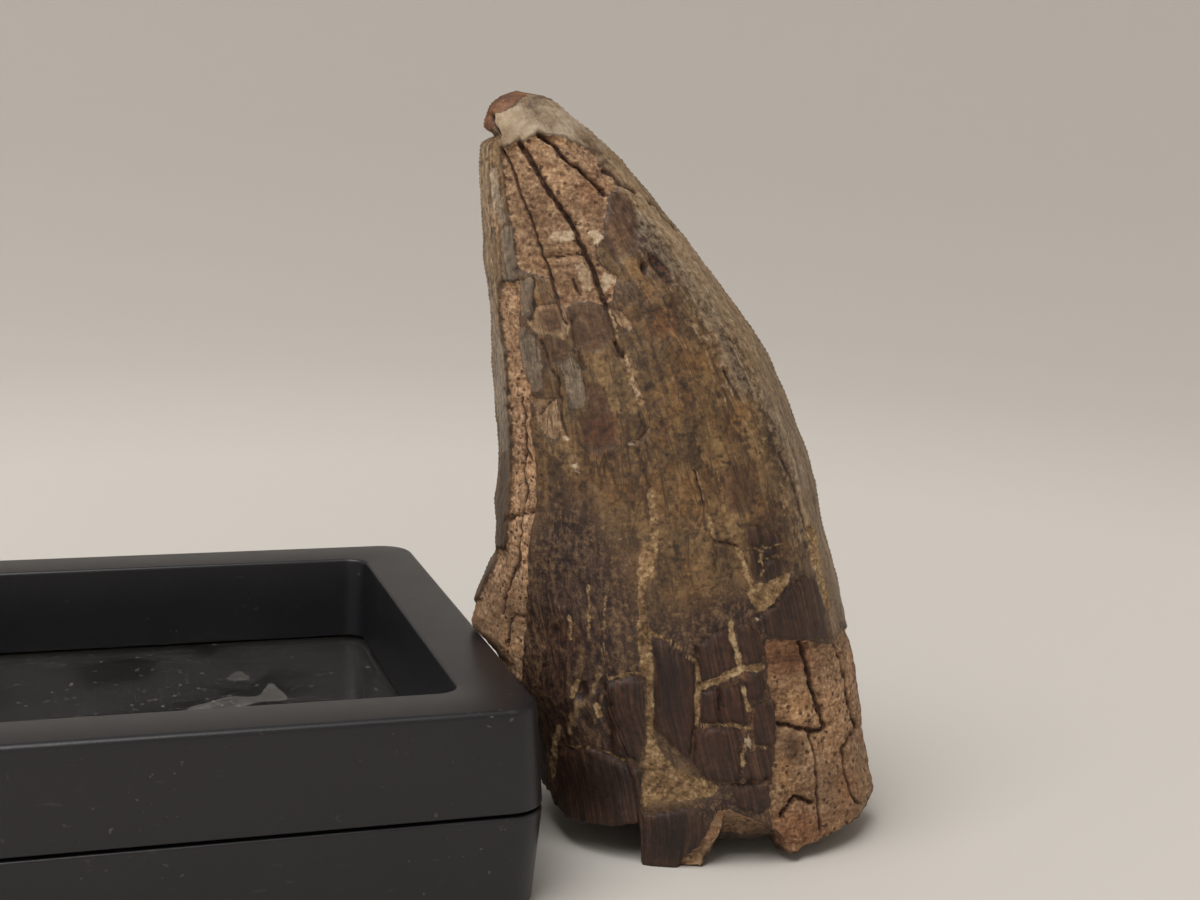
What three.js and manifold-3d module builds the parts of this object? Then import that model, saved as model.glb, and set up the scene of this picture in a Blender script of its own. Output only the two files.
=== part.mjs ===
// A fossil tooth that stands on its broken root and leans a spur on the edge of a square display case.
// The case is two frames, one turned over on the other, each with a clear film stretched across it.
// Millimetres, +Z up, +X along the front of the case, origin on the table under the middle of the whole.
import * as THREE from "three";
import { mergeVertices } from "three/addons/utils/BufferGeometryUtils.js";
import Module from "manifold-3d";

const wasm = await Module();
wasm.setup();

// Display case
const CASE_SIDE = 70; // outside, at the parting plane
const CASE_HEIGHT = 21.56; // both halves together
const CASE_DRAFT = 0.7; // how far an outer wall leans in from the parting plane to its rim
const CASE_CORNER = 4; // outer corner radius
const CASE_EDGE = 0.7; // rounding of the outer rim edge
const EDGE_MIDDLE = 0.3; // where the middle of that rounding lies between its two tangents
const CORNER_STEPS = 5;
const RIM_WIDTH = 7; // flat rim round the well
const WELL_CORNER = 2.5;
const WELL_EDGE = 0.4; // rounding of the inner rim edge
const WELL_DRAFT = 0.4;
const SEAM_GAP = 0.3; // between the two halves
const SEAM_CHAMFER = 0.35;
const FILM_THICKNESS = 0.3;
const FILM_LAP = 2.5; // how far the film reaches under the frame
const FILM_CLEARANCE = 0.3;
const FILM_LIFT = 0.25; // film's near face above the parting plane

// Place of the tooth, from the near right corner of the case's rim
const TOOTH_AT = new THREE.Vector3(25.5, 20.3, 0);
const TOOTH_TURN = THREE.MathUtils.degToRad(-18.1);
const TOOTH_CLEARANCE = 0.3; // to the case

// Tooth outlines as [height, place], in the tooth's own frame: x across the carinae, y front to back
const TIP_HEIGHT = 81.8;
const REAR_CARINA = [
  [0, -18.6], [9, -19.9], [15.3, -21.5], [18.3, -23.1], [22, -24], [31, -25], [40, -24.8], [47.5, -25.4],
  [57.6, -26.2], [65.6, -27.2], [74.5, -27.9], [78.6, -27.3], [80, -26.8], [81, -25.9], [TIP_HEIGHT, -24.1],
];
const FORE_CARINA = [
  [0, 18.6], [4.5, 19.9], [7, 19.3], [12, 17.8], [21, 16.1], [30, 13.7], [35.5, 11.9], [43, 9.7], [49, 7.1],
  [55.7, 4], [62.3, -1.3], [68, -6.5], [73.9, -11.6], [77.2, -15], [80, -18.8], [81.2, -21.2],
  [TIP_HEIGHT, -24.1],
];
const FRONT_SWELL = [
  [0, 15], [10, 15], [20, 14.8], [30, 14.2], [40, 13.2], [50, 11.7], [60, 9.6], [70, 7], [76, 5.2], [80, 3],
  [TIP_HEIGHT, 0],
];
const BACK_SWELL = [
  [0, 13.5], [10, 13.6], [30, 12.6], [50, 10.4], [60, 8.8], [70, 6.5], [76, 4.8], [80, 2.8], [TIP_HEIGHT, 0],
];
const SPUR_REACH = [[15.3, 0], [18.3, 0.9], [20.8, 2.7], [22.2, 3.7], [24.7, 2.9], [28.8, 1.1], [31, 0]];
const SPUR_SPREAD = 0.42; // share of the half thickness that the spur takes up
const CREST = 0.45; // thickest place, as a share of the width from the rear carina
const REAR_FULLNESS = 2.5; // superellipse powers of the two halves of a section
const FORE_FULLNESS = 2.1;
const KEEL_HEIGHT = 0.5;
const KEEL_SHARE = 0.04; // of the width, where the tip is too narrow for the full keel
const KEEL_SPREAD = 0.14;

// Broken edge of the root as [x, height], and the shallow hollow under it
const FRONT_RIM = [
  [-18.5, 6.5], [-17, 6], [-16.2, 5.2], [-15.2, 3.5], [-7.8, 4.6], [-7.4, 0], [-0.9, 0], [-0.3, 1.8],
  [1.6, 6.6], [3.4, 5.8], [6.6, 3.8], [8.8, 1.2], [13.4, 2], [17, 2.6], [18.5, 4],
];
const BACK_RIM = [
  [-18.5, 6.5], [-15, 3], [-9, 0], [-4, 0], [-1, 1.8], [4, 2.4], [7, 0], [12, 0], [16, 1.8], [18.5, 4],
];
const HOLLOW_TOP = new THREE.Vector3(-1, -0.5, 7.5);
const WALL_SHARE = [0.14, 0.6]; // where the hollow starts to rise and where it levels out

// Mesh of the tooth
const COLUMNS = 72;
const FRONT_COLUMNS = 44;
const WALL_ROWS = 40;
const HOLLOW_ROWS = 4;
const ROW_CROWDING = 1.25; // rows stand closer towards the tip

// Where the enamel has flaked off, how deep, and the cracks and pits, as outlines in x and height
const ENAMEL = 0.7;
const FRONT_BARE = {
  belowTip: [
    [-25.3, 75.5], [-23.5, 76.5], [-21, 77.5], [-17.4, 76.6], [-13.4, 75], [-11, 72], [-13.5, 71.3],
    [-14.3, 66.7], [-13.4, 60.5], [-17, 60], [-19, 61.9], [-22.6, 62.4], [-24.3, 70.4],
  ],
  rearStrip: [
    [-25.6, 61.4], [-23.2, 61.6], [-22.8, 56.8], [-20.6, 45.4], [-20.4, 41], [-20.6, 26], [-20.4, 12],
    [-32, 12], [-32, 28], [-25.3, 32], [-23.6, 36], [-23.8, 49], [-24.6, 55.5],
  ],
  foreRoot: [
    [6, 25], [9, 24.6], [13.8, 23.5], [16, 16], [16.9, 12.8], [15.2, 10.6], [16, 8], [18.4, 4], [18.4, -1],
    [6.7, -1], [6.8, 16.4], [5.2, 19.7],
  ],
  grainPatch: [
    [-7.6, 14.4], [-5.9, 13.7], [-2.6, 11.1], [3.2, 8.3], [-1.3, 7.2], [-5.6, 7.5], [-7.8, 5.9],
  ],
};
const BACK_BARE = {
  midPatch: [[-20, 47], [-15, 50], [-10, 41], [-11, 31], [-15, 25], [-19.5, 30]],
  rootPatch: [[2, 27], [9, 31], [11.5, 22], [11, 9], [5, 7], [0.5, 15]],
};
const CRACK_DEPTH = 1.4;
const FRONT_CRACKS = [
  { width: 0.9, line: [[-25, 75.6], [-23.6, 72.5], [-21.8, 68.4], [-20.3, 64.6], [-18, 58.5]] },
  { width: 1.2, line: [[-23.3, 76.3], [-21.5, 73.8], [-17, 67.8], [-15.3, 64.4], [-12.9, 58.6]] },
  { width: 1.0, line: [[-21, 77.4], [-18.4, 75.3], [-15.7, 73.3], [-13.8, 71.6]] },
  { width: 0.9, line: [[-14.1, 74.2], [-12.5, 72.8], [-10.8, 71.8]] },
  { width: 0.8, line: [[-13.8, 61.3], [-11.8, 55.5], [-10.2, 50.9], [-8.8, 44.8], [-7.3, 37]] },
  { width: 1.2, line: [[-7.7, 39.5], [-7.8, 33.8], [-8.1, 27.4], [-7.5, 20.9], [-7.3, 12.6]] },
  { width: 0.8, line: [[-22.5, 49.4], [-21.9, 45.2], [-22.2, 41.9], [-22, 32.2], [-23.1, 26.6]] },
  { width: 1.0, line: [[9.5, 24], [10.5, 21.2], [11.5, 17.8], [12.9, 14.8], [10.6, 13.7]] },
  { width: 1.0, line: [[7.3, 15.8], [9.3, 15.3], [11.1, 14.1], [11.8, 11.3], [12.4, 3.4]] },
  { width: 0.8, line: [[13.6, 23], [14.8, 19.8], [16.6, 13.2]] },
];
const BACK_CRACKS = [
  { width: 0.9, line: [[-19, 74], [-17, 66], [-15.5, 56], [-12, 44], [-11, 31]] },
  { width: 0.9, line: [[-7, 65], [-4, 52], [1, 38], [3, 28]] },
  { width: 1.0, line: [[-9, 25], [-6.5, 13], [-5, 2]] },
  { width: 0.8, line: [[10, 30], [13, 18], [14, 6]] },
];
const PIT_DEPTH = 1.5;
const PITS = [
  { at: [-9.5, 64], wide: 0.45, long: 0.8, lean: 0 },
  { at: [-7.8, 63.6], wide: 0.6, long: 1.6, lean: 0.7 },
];
const PIT_SIDES = 10;
const TIP_NOTCH = [[-29, 77.3], [-25.9, 76.8], [-29, 75.8]];
const NOTCH_REACH = 2.5; // front and back of the carina
const PAST_SURFACE = 30; // how far a cutting prism stands out of the tooth
const SLIVER = 0.02; // smaller steps that the cuts leave are closed
const MERGE_WITHIN = 1e-4;

const bone = new THREE.MeshStandardMaterial({ color: 0x6f5a44, roughness: 0.65, metalness: 0 });
const blackPlastic = new THREE.MeshStandardMaterial({ color: 0x1f1e1d, roughness: 0.55, metalness: 0 });
const clearFilm = new THREE.MeshStandardMaterial({
  color: 0xe8ecee, roughness: 0.1, metalness: 0, transparent: true, opacity: 0.2,
});

// Value of an outline of [place, value] points at a place between them
function readOutline(points, place) {
  const next = points.findIndex(([at]) => at >= place);
  if (next === -1) return points.at(-1)[1];
  if (next === 0) return points[0][1];
  const [fromAt, fromValue] = points[next - 1];
  const [toAt, toValue] = points[next];
  return THREE.MathUtils.mapLinear(place, fromAt, toAt, fromValue, toValue);
}

// Geometry with only merged positions, as a solid that can be cut
function solidOf(geometry) {
  const bare = geometry.clone();
  bare.deleteAttribute("normal");
  bare.deleteAttribute("uv");
  const merged = mergeVertices(bare, MERGE_WITHIN);
  return new wasm.Manifold(
    new wasm.Mesh({
      numProp: 3,
      vertProperties: merged.attributes.position.array,
      triVerts: new Uint32Array(merged.index.array),
    }),
  );
}

function geometryOf(solid) {
  const { vertProperties, triVerts } = solid.getMesh();
  const geometry = new THREE.BufferGeometry();
  geometry.setAttribute("position", new THREE.BufferAttribute(vertProperties, 3));
  geometry.setIndex(new THREE.BufferAttribute(triVerts, 1));
  geometry.computeVertexNormals();
  return geometry;
}

function namedMesh(name, geometry, material) {
  const mesh = new THREE.Mesh(geometry, material);
  mesh.name = name;
  return mesh;
}

// Point of a horizontal section of the tooth. The angle runs from the rear carina over the front face
// to the fore carina and back over the far face; inset draws the whole section in.
function sectionPoint(height, angle, inset) {
  const rearEdge = readOutline(REAR_CARINA, height);
  const foreEdge = readOutline(FORE_CARINA, height);
  const crest = THREE.MathUtils.lerp(rearEdge, foreEdge, CREST);
  const keelHeight = Math.min(KEEL_HEIGHT, KEEL_SHARE * (foreEdge - rearEdge));
  const rear = Math.min(rearEdge + keelHeight + inset, crest);
  const fore = Math.max(foreEdge - keelHeight - inset, crest);
  const across = Math.cos(angle);
  const through = Math.sin(angle);
  const onRear = across > 0;
  const power = 2 / (onRear ? REAR_FULLNESS : FORE_FULLNESS);
  const reach = (onRear ? crest - rear : fore - crest) * Math.abs(across) ** power;
  const keel = keelHeight * Math.exp(-((through / KEEL_SPREAD) ** 2));
  const spur = onRear ? readOutline(SPUR_REACH, height) * Math.exp(-((through / SPUR_SPREAD) ** 2)) : 0;
  const swell = readOutline(through > 0 ? FRONT_SWELL : BACK_SWELL, height) - inset;
  return new THREE.Vector3(
    crest + (onRear ? -1 : 1) * (reach + keel + spur),
    -Math.sign(through) * Math.max(swell, 0) * Math.abs(through) ** power,
    height,
  );
}

// Tooth skin: a sphere whose rows become sections from the tip down to the broken rim, and whose last
// rows become the hollow under the root. A skin drawn in by an inset goes straight down past the rim.
function toothSkin(inset) {
  const rows = WALL_ROWS + HOLLOW_ROWS;
  const skin = new THREE.SphereGeometry(1, COLUMNS, rows);
  const { position, uv } = skin.attributes;
  const tip = TIP_HEIGHT - inset;
  for (let i = 0; i < position.count; i += 1) {
    const column = i % (COLUMNS + 1);
    const row = Math.round((1 - uv.getY(i)) * rows);
    const angle = column <= FRONT_COLUMNS
      ? (Math.PI * column) / FRONT_COLUMNS
      : Math.PI * (1 + (column - FRONT_COLUMNS) / (COLUMNS - FRONT_COLUMNS));
    const foot = sectionPoint(0, angle, inset);
    const rim = inset > 0 ? -inset : readOutline(angle < Math.PI ? FRONT_RIM : BACK_RIM, foot.x);
    const drop = Math.min(row / WALL_ROWS, 1) ** ROW_CROWDING;
    const point = sectionPoint(THREE.MathUtils.lerp(tip, rim, drop), angle, inset);
    if (row === 0) point.set(sectionPoint(tip, Math.PI / 2, inset).x, 0, tip);
    if (row > WALL_ROWS) {
      const inward = (row - WALL_ROWS) / HOLLOW_ROWS;
      const rise = inset > 0 ? 0 : THREE.MathUtils.smoothstep(inward, ...WALL_SHARE);
      point.lerp(new THREE.Vector3(HOLLOW_TOP.x, HOLLOW_TOP.y, point.z), inward);
      point.z = THREE.MathUtils.lerp(point.z, HOLLOW_TOP.z, rise);
    }
    position.setXYZ(i, point.x, point.y, point.z);
  }
  return solidOf(skin);
}

// Prism of an outline in x and height, from the middle of the tooth out past its front or back face
function prismOf(outline, side) {
  const shape = new THREE.Shape(outline.map(([x, height]) => new THREE.Vector2(x, height)));
  const prism = new THREE.ExtrudeGeometry(shape, { depth: PAST_SURFACE, bevelEnabled: false });
  prism.rotateX(Math.PI / 2);
  if (side > 0) prism.translate(0, PAST_SURFACE, 0);
  return solidOf(prism);
}

// Outline of a crack: a ribbon along a line, widest in the middle and pointed at both ends
function crackOutline({ width, line }) {
  const points = line.map(([x, height]) => new THREE.Vector2(x, height));
  const edge = (side) => points.slice(1, -1).map((point, i) => {
    const along = new THREE.Vector2().subVectors(points[i + 2], points[i]).normalize();
    return [point.x - (side * along.y * width) / 2, point.y + (side * along.x * width) / 2];
  });
  return [line[0], ...edge(-1), line.at(-1), ...edge(1).reverse()];
}

function pitOutline({ at, wide, long, lean }) {
  const rim = new THREE.EllipseCurve(at[0], at[1], wide, long, 0, 2 * Math.PI, false, lean);
  return rim.getPoints(PIT_SIDES).slice(0, -1).map(({ x, y }) => [x, y]);
}

function joined(solids) {
  return solids.reduce((all, next) => all.add(next));
}

// The tooth: skin, minus flaked enamel, cracks and pits, each cut only down to its own depth
function toothGeometry(caseClearance) {
  const flakes = joined([
    ...Object.values(FRONT_BARE).map((outline) => prismOf(outline, -1)),
    ...Object.values(BACK_BARE).map((outline) => prismOf(outline, 1)),
  ]);
  const cracks = joined([
    ...FRONT_CRACKS.map((crack) => prismOf(crackOutline(crack), -1)),
    ...BACK_CRACKS.map((crack) => prismOf(crackOutline(crack), 1)),
  ]);
  const pits = joined(PITS.map((pit) => prismOf(pitOutline(pit), -1)));
  const notchShape = new THREE.Shape(TIP_NOTCH.map(([x, height]) => new THREE.Vector2(x, height)));
  const notch = new THREE.ExtrudeGeometry(notchShape, { depth: 2 * NOTCH_REACH, bevelEnabled: false });
  notch.rotateX(Math.PI / 2).translate(0, NOTCH_REACH, 0);
  const tooth = toothSkin(0)
    .subtract(flakes.subtract(toothSkin(ENAMEL)))
    .subtract(cracks.subtract(toothSkin(CRACK_DEPTH)))
    .subtract(pits.subtract(toothSkin(PIT_DEPTH)))
    .subtract(solidOf(notch))
    .subtract(caseClearance);
  return geometryOf(tooth.simplify(SLIVER));
}

// Points of a square with round corners, counterclockwise seen from above
function squareRing(half, corner) {
  const ring = [];
  for (let quarter = 0; quarter < 4; quarter += 1) {
    const start = (quarter * Math.PI) / 2;
    const diagonal = start + Math.PI / 4;
    const reach = Math.SQRT2 * (half - corner);
    for (let step = 0; step <= CORNER_STEPS; step += 1) {
      const angle = start + (step / CORNER_STEPS) * (Math.PI / 2);
      ring.push(new THREE.Vector2(
        reach * Math.cos(diagonal) + corner * Math.cos(angle),
        reach * Math.sin(diagonal) + corner * Math.sin(angle),
      ));
    }
  }
  return ring;
}

const caseHalf = CASE_SIDE / 2;
const frameHeight = CASE_HEIGHT / 2;
const rimHalf = caseHalf - CASE_DRAFT;
const wellHalf = rimHalf - RIM_WIDTH;
const wellFloorHalf = wellHalf - WELL_DRAFT;
const seatHalf = wellFloorHalf + FILM_LAP;
const seatTop = FILM_LIFT + FILM_THICKNESS + FILM_CLEARANCE;

// One half of the case as a ring: its cross-section, up the outer wall and down the well, follows a
// square path. Its parting face is at the bottom, with a step cut in it that holds the film's border.
function frameGeometry() {
  const outer = (half, height) => ({ half, corner: CASE_CORNER + half - caseHalf, height });
  const inner = (half, height) => ({ half, corner: WELL_CORNER + half - wellHalf, height });
  const section = [
    outer(caseHalf - SEAM_CHAMFER, SEAM_GAP / 2),
    outer(caseHalf, SEAM_GAP / 2 + SEAM_CHAMFER),
    outer(rimHalf, frameHeight - CASE_EDGE),
    outer(rimHalf - EDGE_MIDDLE * CASE_EDGE, frameHeight - EDGE_MIDDLE * CASE_EDGE),
    outer(rimHalf - CASE_EDGE, frameHeight),
    inner(wellHalf + WELL_EDGE, frameHeight),
    inner(wellHalf, frameHeight - WELL_EDGE),
    inner(wellFloorHalf, seatTop),
    inner(seatHalf, seatTop),
    inner(seatHalf, SEAM_GAP / 2),
  ];
  const rings = section.map(({ half, corner }) => squareRing(half, corner));
  const steps = rings[0].length;
  const closed = [...section, section[0]].map(({ half, height }) => new THREE.Vector2(half, height));
  const frame = new THREE.LatheGeometry(closed, steps);
  const { position } = frame.attributes;
  for (let i = 0; i < position.count; i += 1) {
    const level = (i % closed.length) % section.length;
    const at = rings[level][Math.floor(i / closed.length) % steps];
    position.setXYZ(i, at.x, at.y, section[level].height);
  }
  return geometryOf(solidOf(frame));
}

function filmGeometry() {
  const half = seatHalf - FILM_CLEARANCE;
  const outline = new THREE.Shape(squareRing(half, WELL_CORNER + half - wellHalf));
  const film = new THREE.ExtrudeGeometry(outline, { depth: FILM_THICKNESS, bevelEnabled: false });
  return film.translate(0, 0, FILM_LIFT);
}

// One half of the case with its film, standing on the parting plane
function caseHalfGroup(frameName, filmName) {
  const half = new THREE.Group();
  half.add(namedMesh(frameName, frameGeometry(), blackPlastic));
  half.add(namedMesh(filmName, filmGeometry(), clearFilm));
  return half;
}

const displayCase = new THREE.Group();
const upperHalf = caseHalfGroup("case_upper_frame", "upper_film");
const lowerHalf = caseHalfGroup("case_lower_frame", "lower_film");
lowerHalf.rotation.x = Math.PI;
displayCase.add(upperHalf, lowerHalf);
displayCase.position.set(-rimHalf, rimHalf, frameHeight);

const toothStance = new THREE.Group();
toothStance.position.copy(TOOTH_AT);
toothStance.rotation.z = TOOTH_TURN;
toothStance.updateMatrix();
const clearanceBlock = new THREE.BoxGeometry(
  CASE_SIDE + 2 * TOOTH_CLEARANCE,
  CASE_SIDE + 2 * TOOTH_CLEARANCE,
  CASE_HEIGHT + 2 * TOOTH_CLEARANCE,
);
clearanceBlock.translate(...displayCase.position.toArray());
clearanceBlock.applyMatrix4(toothStance.matrix.clone().invert());
toothStance.add(namedMesh("tooth", toothGeometry(solidOf(clearanceBlock)), bone));

// The whole is shifted so that the middle of its box stands over the origin
const pieces = new THREE.Group();
pieces.add(displayCase, toothStance);
const middle = new THREE.Box3().setFromObject(pieces, true).getCenter(new THREE.Vector3());
pieces.position.set(-middle.x, -middle.y, 0);

const toothOnCase = new THREE.Group();
toothOnCase.add(pieces);

export default toothOnCase;
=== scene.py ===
# %% [markdown]
# # A fossil tooth leaning on its display case
# A dinosaur tooth stands on its broken root, and a spur on its side leans on the rim of a square black
# display case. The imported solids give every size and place. Each cell below dresses one piece of them,
# so the lesson can be read from top to bottom.

import math

import bmesh
import bpy
import numpy as np
from mathutils import Matrix, Vector, geometry, noise


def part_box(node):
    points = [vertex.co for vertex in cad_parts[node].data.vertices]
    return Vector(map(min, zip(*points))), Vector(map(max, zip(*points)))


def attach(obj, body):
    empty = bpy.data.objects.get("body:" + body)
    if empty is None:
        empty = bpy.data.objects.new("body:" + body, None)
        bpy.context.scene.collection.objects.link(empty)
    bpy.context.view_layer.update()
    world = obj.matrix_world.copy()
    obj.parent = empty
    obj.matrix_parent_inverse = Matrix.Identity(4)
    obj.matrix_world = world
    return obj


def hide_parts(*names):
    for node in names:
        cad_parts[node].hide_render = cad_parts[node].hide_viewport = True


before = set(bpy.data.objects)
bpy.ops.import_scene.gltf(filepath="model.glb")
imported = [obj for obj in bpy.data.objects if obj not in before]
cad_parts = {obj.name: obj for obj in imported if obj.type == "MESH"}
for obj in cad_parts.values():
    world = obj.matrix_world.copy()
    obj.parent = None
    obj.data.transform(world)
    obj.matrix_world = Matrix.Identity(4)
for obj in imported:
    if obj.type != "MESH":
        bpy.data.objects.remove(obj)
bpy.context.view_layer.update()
MM = 0.001

# %% [markdown]
# ## Camera
# The photograph was taken from a little above the case, with the lens tipped down and the camera leaning
# slightly. The case is square, so its edges fix the view: the camera is placed from the near right corner
# of the case's rim. The same numbers turn any point of the tooth into a pixel of the photograph, which is
# how the cracks and patches measured there are put on the surface later.

# %% Place the camera
PHOTO_SIZE = (1200, 900)
FOCAL_PIXELS = 1801.4
SENSOR_WIDTH = 36.0
CASE_DRAFT = 0.7 * MM
CORNER_TO_CAMERA = Vector((-48.93, -163.67, 59.17)) * MM
LOOK_TURN = math.radians(18.1)
LOOK_DOWN = math.radians(10.87)
CAMERA_LEAN = math.radians(2.18)

case_low, case_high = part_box("case_upper_frame")
rim_corner = Vector((case_high.x - CASE_DRAFT, case_low.y + CASE_DRAFT, case_high.z))
camera_place = rim_corner + CORNER_TO_CAMERA

forward = Vector((math.sin(LOOK_TURN), math.cos(LOOK_TURN), -math.tan(LOOK_DOWN))).normalized()
level_right = Vector((math.cos(LOOK_TURN), -math.sin(LOOK_TURN), 0))
level_up = level_right.cross(forward)
right = level_right * math.cos(CAMERA_LEAN) + level_up * math.sin(CAMERA_LEAN)
up = level_up * math.cos(CAMERA_LEAN) - level_right * math.sin(CAMERA_LEAN)

camera_data = bpy.data.cameras.new("camera")
camera_data.sensor_width = SENSOR_WIDTH
camera_data.lens = FOCAL_PIXELS / PHOTO_SIZE[0] * SENSOR_WIDTH
camera_data.clip_start = 0.01
camera = bpy.data.objects.new("camera", camera_data)
camera.matrix_world = Matrix.Translation(camera_place) @ Matrix((right, up, -forward)).transposed().to_4x4()
bpy.context.scene.collection.objects.link(camera)
bpy.context.scene.camera = camera


def photo_pixels(points):
    """Where points of the frame, in metres, fall in the photograph."""
    seen = np.asarray(points) - np.array(camera_place)
    depth = seen @ np.array(forward)
    across = PHOTO_SIZE[0] / 2 + FOCAL_PIXELS * (seen @ np.array(right)) / depth
    down = PHOTO_SIZE[1] / 2 - FOCAL_PIXELS * (seen @ np.array(up)) / depth
    return np.stack([across, down], axis=1)


print("lens in mm:", round(camera_data.lens, 2))
print("rim corner at pixel", photo_pixels([rim_corner])[0].round(1))

# %% [markdown]
# ## Shader helpers
# Materials are written as expressions. A `Wire` stands for one output socket, and adding or multiplying
# wires adds Math nodes. `Paint.node` makes any other node: its settings are set first, because they can
# change which sockets it has, and then its sockets are filled with values or linked to wires.

# %% Wire and Paint
class Wire:
    """One output socket of a material; arithmetic on it adds Math nodes."""

    def __init__(self, paint, socket):
        self.paint = paint
        self.socket = socket

    def math(self, operation, first, second):
        return self.paint.node("ShaderNodeMath", {"operation": operation}, {0: first, 1: second})

    def __add__(self, other):
        return self.math("ADD", self, other)

    def __sub__(self, other):
        return self.math("SUBTRACT", self, other)

    def __rsub__(self, other):
        return self.math("SUBTRACT", other, self)

    def __mul__(self, other):
        return self.math("MULTIPLY", self, other)

    __radd__ = __add__
    __rmul__ = __mul__

    def absolute(self):
        return self.math("ABSOLUTE", self, 0.0)


class Paint:
    """A node material with one method that adds any node, and short names for the usual ones."""

    def __init__(self, name):
        self.material = bpy.data.materials.new(name)
        self.material.use_nodes = True
        self.tree = self.material.node_tree
        self.tree.nodes.clear()

    def node(self, kind, settings=None, sockets=None, output=0):
        made = self.tree.nodes.new(kind)
        for key, value in (settings or {}).items():
            if key == "stops":
                self.fill_ramp(made.color_ramp, value)
            else:
                setattr(made, key, value)
        for key, value in (sockets or {}).items():
            if isinstance(value, Wire):
                self.tree.links.new(value.socket, made.inputs[key])
            else:
                made.inputs[key].default_value = value
        return Wire(self, made.outputs[output])

    def fill_ramp(self, ramp, stops):
        while len(ramp.elements) < len(stops):
            ramp.elements.new(0.5)
        for element, (position, shade) in zip(ramp.elements, stops):
            element.position = position
            element.color = tone(*shade)

    def ramp(self, value, stops):
        return self.node("ShaderNodeValToRGB", {"stops": stops}, {"Fac": value})

    def place(self):
        return self.node("ShaderNodeTexCoord", output="Object")

    def attribute(self, name, output="Fac"):
        return self.node("ShaderNodeAttribute", {"attribute_name": name}, output=output)

    def stretched(self, vector, scale):
        return self.node("ShaderNodeMapping", {"vector_type": "POINT"}, {"Vector": vector, "Scale": scale})

    def noise(self, vector, scale, detail=3.0, roughness=0.55, distortion=0.0):
        sockets = {"Vector": vector, "Scale": scale, "Detail": detail, "Roughness": roughness,
                   "Distortion": distortion}
        return self.node("ShaderNodeTexNoise", sockets=sockets)

    def cells(self, vector, scale, output="Distance"):
        sockets = {"Vector": vector, "Scale": scale}
        return self.node("ShaderNodeTexVoronoi", {"feature": "F1"}, sockets, output)

    def rise(self, value, low, high):
        """0 below low and 1 above high, with a smooth step between; low may be the larger one."""
        settings = {"interpolation_type": "SMOOTHSTEP"}
        ends = {1: min(low, high), 2: max(low, high), 3: float(low > high), 4: float(low < high)}
        return self.node("ShaderNodeMapRange", settings, {0: value, **ends})

    def mix(self, share, first, second, blend="MIX"):
        settings = {"data_type": "RGBA", "blend_type": blend}
        return self.node("ShaderNodeMix", settings, {0: share, 6: first, 7: second}, output=2)

    def tint(self, share, colour, red, green, blue):
        return self.mix(share, colour, (red, green, blue, 1.0), "MULTIPLY")

    def bump(self, height, strength, distance):
        sockets = {"Height": height, "Strength": strength, "Distance": distance}
        return self.node("ShaderNodeBump", sockets=sockets)

    def principled(self, sockets):
        return self.node("ShaderNodeBsdfPrincipled", sockets=sockets)

    def surface(self, shader):
        end = self.tree.nodes.new("ShaderNodeOutputMaterial")
        self.tree.links.new(shader.socket, end.inputs["Surface"])
        return self.material


def tone(red, green, blue):
    """A display colour, 0 to 255, as the linear colour that sockets take."""
    shares = [channel / 255 for channel in (red, green, blue)]
    linear = [s / 12.92 if s <= 0.04045 else ((s + 0.055) / 1.055) ** 2.4 for s in shares]
    return (*linear, 1.0)


def finish_mesh(mesh_maker, name, node, material):
    """Makes a bmesh into a named piece that rides on the frame and stands for one solid."""
    mesh = bpy.data.meshes.new(name)
    mesh_maker.to_mesh(mesh)
    mesh_maker.free()
    mesh.shade_smooth()
    piece = bpy.data.objects.new(name, mesh)
    bpy.context.scene.collection.objects.link(piece)
    mesh.materials.append(material)
    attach(piece, "root")
    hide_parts(node)
    print(name, "has", sum(len(face.vertices) - 2 for face in mesh.polygons), "triangles")
    return piece


# %% [markdown]
# ## Stage
# The object stands on a pale, warm grey sweep. A profile spun once round the object makes it: a flat floor
# that curves up into a wall, so that no horizon shows from any side. Its tone changes a little with the
# distance, as the backdrop of the photograph does: it is painted darker close to the object and where it
# turns up into the wall, as painted shade.

# %% Sweep
FLOOR_RADIUS = 0.35
WALL_RADIUS = 0.95
WALL_TOP = 1.6
SWEEP_STEPS = 12
SPIN_STEPS = 96


def sweep_paint():
    paint = Paint("pale_sweep")
    away = paint.node("ShaderNodeVectorMath", {"operation": "LENGTH"}, {0: paint.place()}, output="Value")
    # painted shade: darker close to the object and where the floor turns up into the wall
    colour = paint.ramp(away, [(0.05, (206, 202, 196)), (0.2, (220, 215, 209)), (0.42, (213, 208, 202)),
                               (0.62, (209, 204, 198)), (0.95, (215, 210, 204))])
    return paint.surface(paint.principled({"Base Color": colour, "Roughness": 0.9}))


sweep_maker = bmesh.new()
sweep_bend = WALL_RADIUS - FLOOR_RADIUS
profile = [Vector((0, 0, 0)), Vector((FLOOR_RADIUS, 0, 0))]
for step in range(1, SWEEP_STEPS + 1):
    angle = math.pi / 2 * step / SWEEP_STEPS
    bend = Vector((math.sin(angle), 0, 1 - math.cos(angle)))
    profile.append(Vector((FLOOR_RADIUS, 0, 0)) + sweep_bend * bend)
profile.append(Vector((WALL_RADIUS, 0, WALL_TOP)))
corners = [sweep_maker.verts.new(point) for point in profile]
edges = [sweep_maker.edges.new(pair) for pair in zip(corners[:-1], corners[1:])]
bmesh.ops.spin(sweep_maker, geom=corners + edges, cent=(0, 0, 0), axis=(0, 0, 1), angle=2 * math.pi,
               steps=SPIN_STEPS, use_merge=True)
bmesh.ops.remove_doubles(sweep_maker, verts=sweep_maker.verts, dist=0.01 * MM)
sweep_mesh = bpy.data.meshes.new("sweep")
sweep_maker.to_mesh(sweep_mesh)
sweep_maker.free()
sweep_mesh.shade_smooth()
sweep_mesh.materials.append(sweep_paint())
sweep = bpy.data.objects.new("sweep", sweep_mesh)
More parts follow.
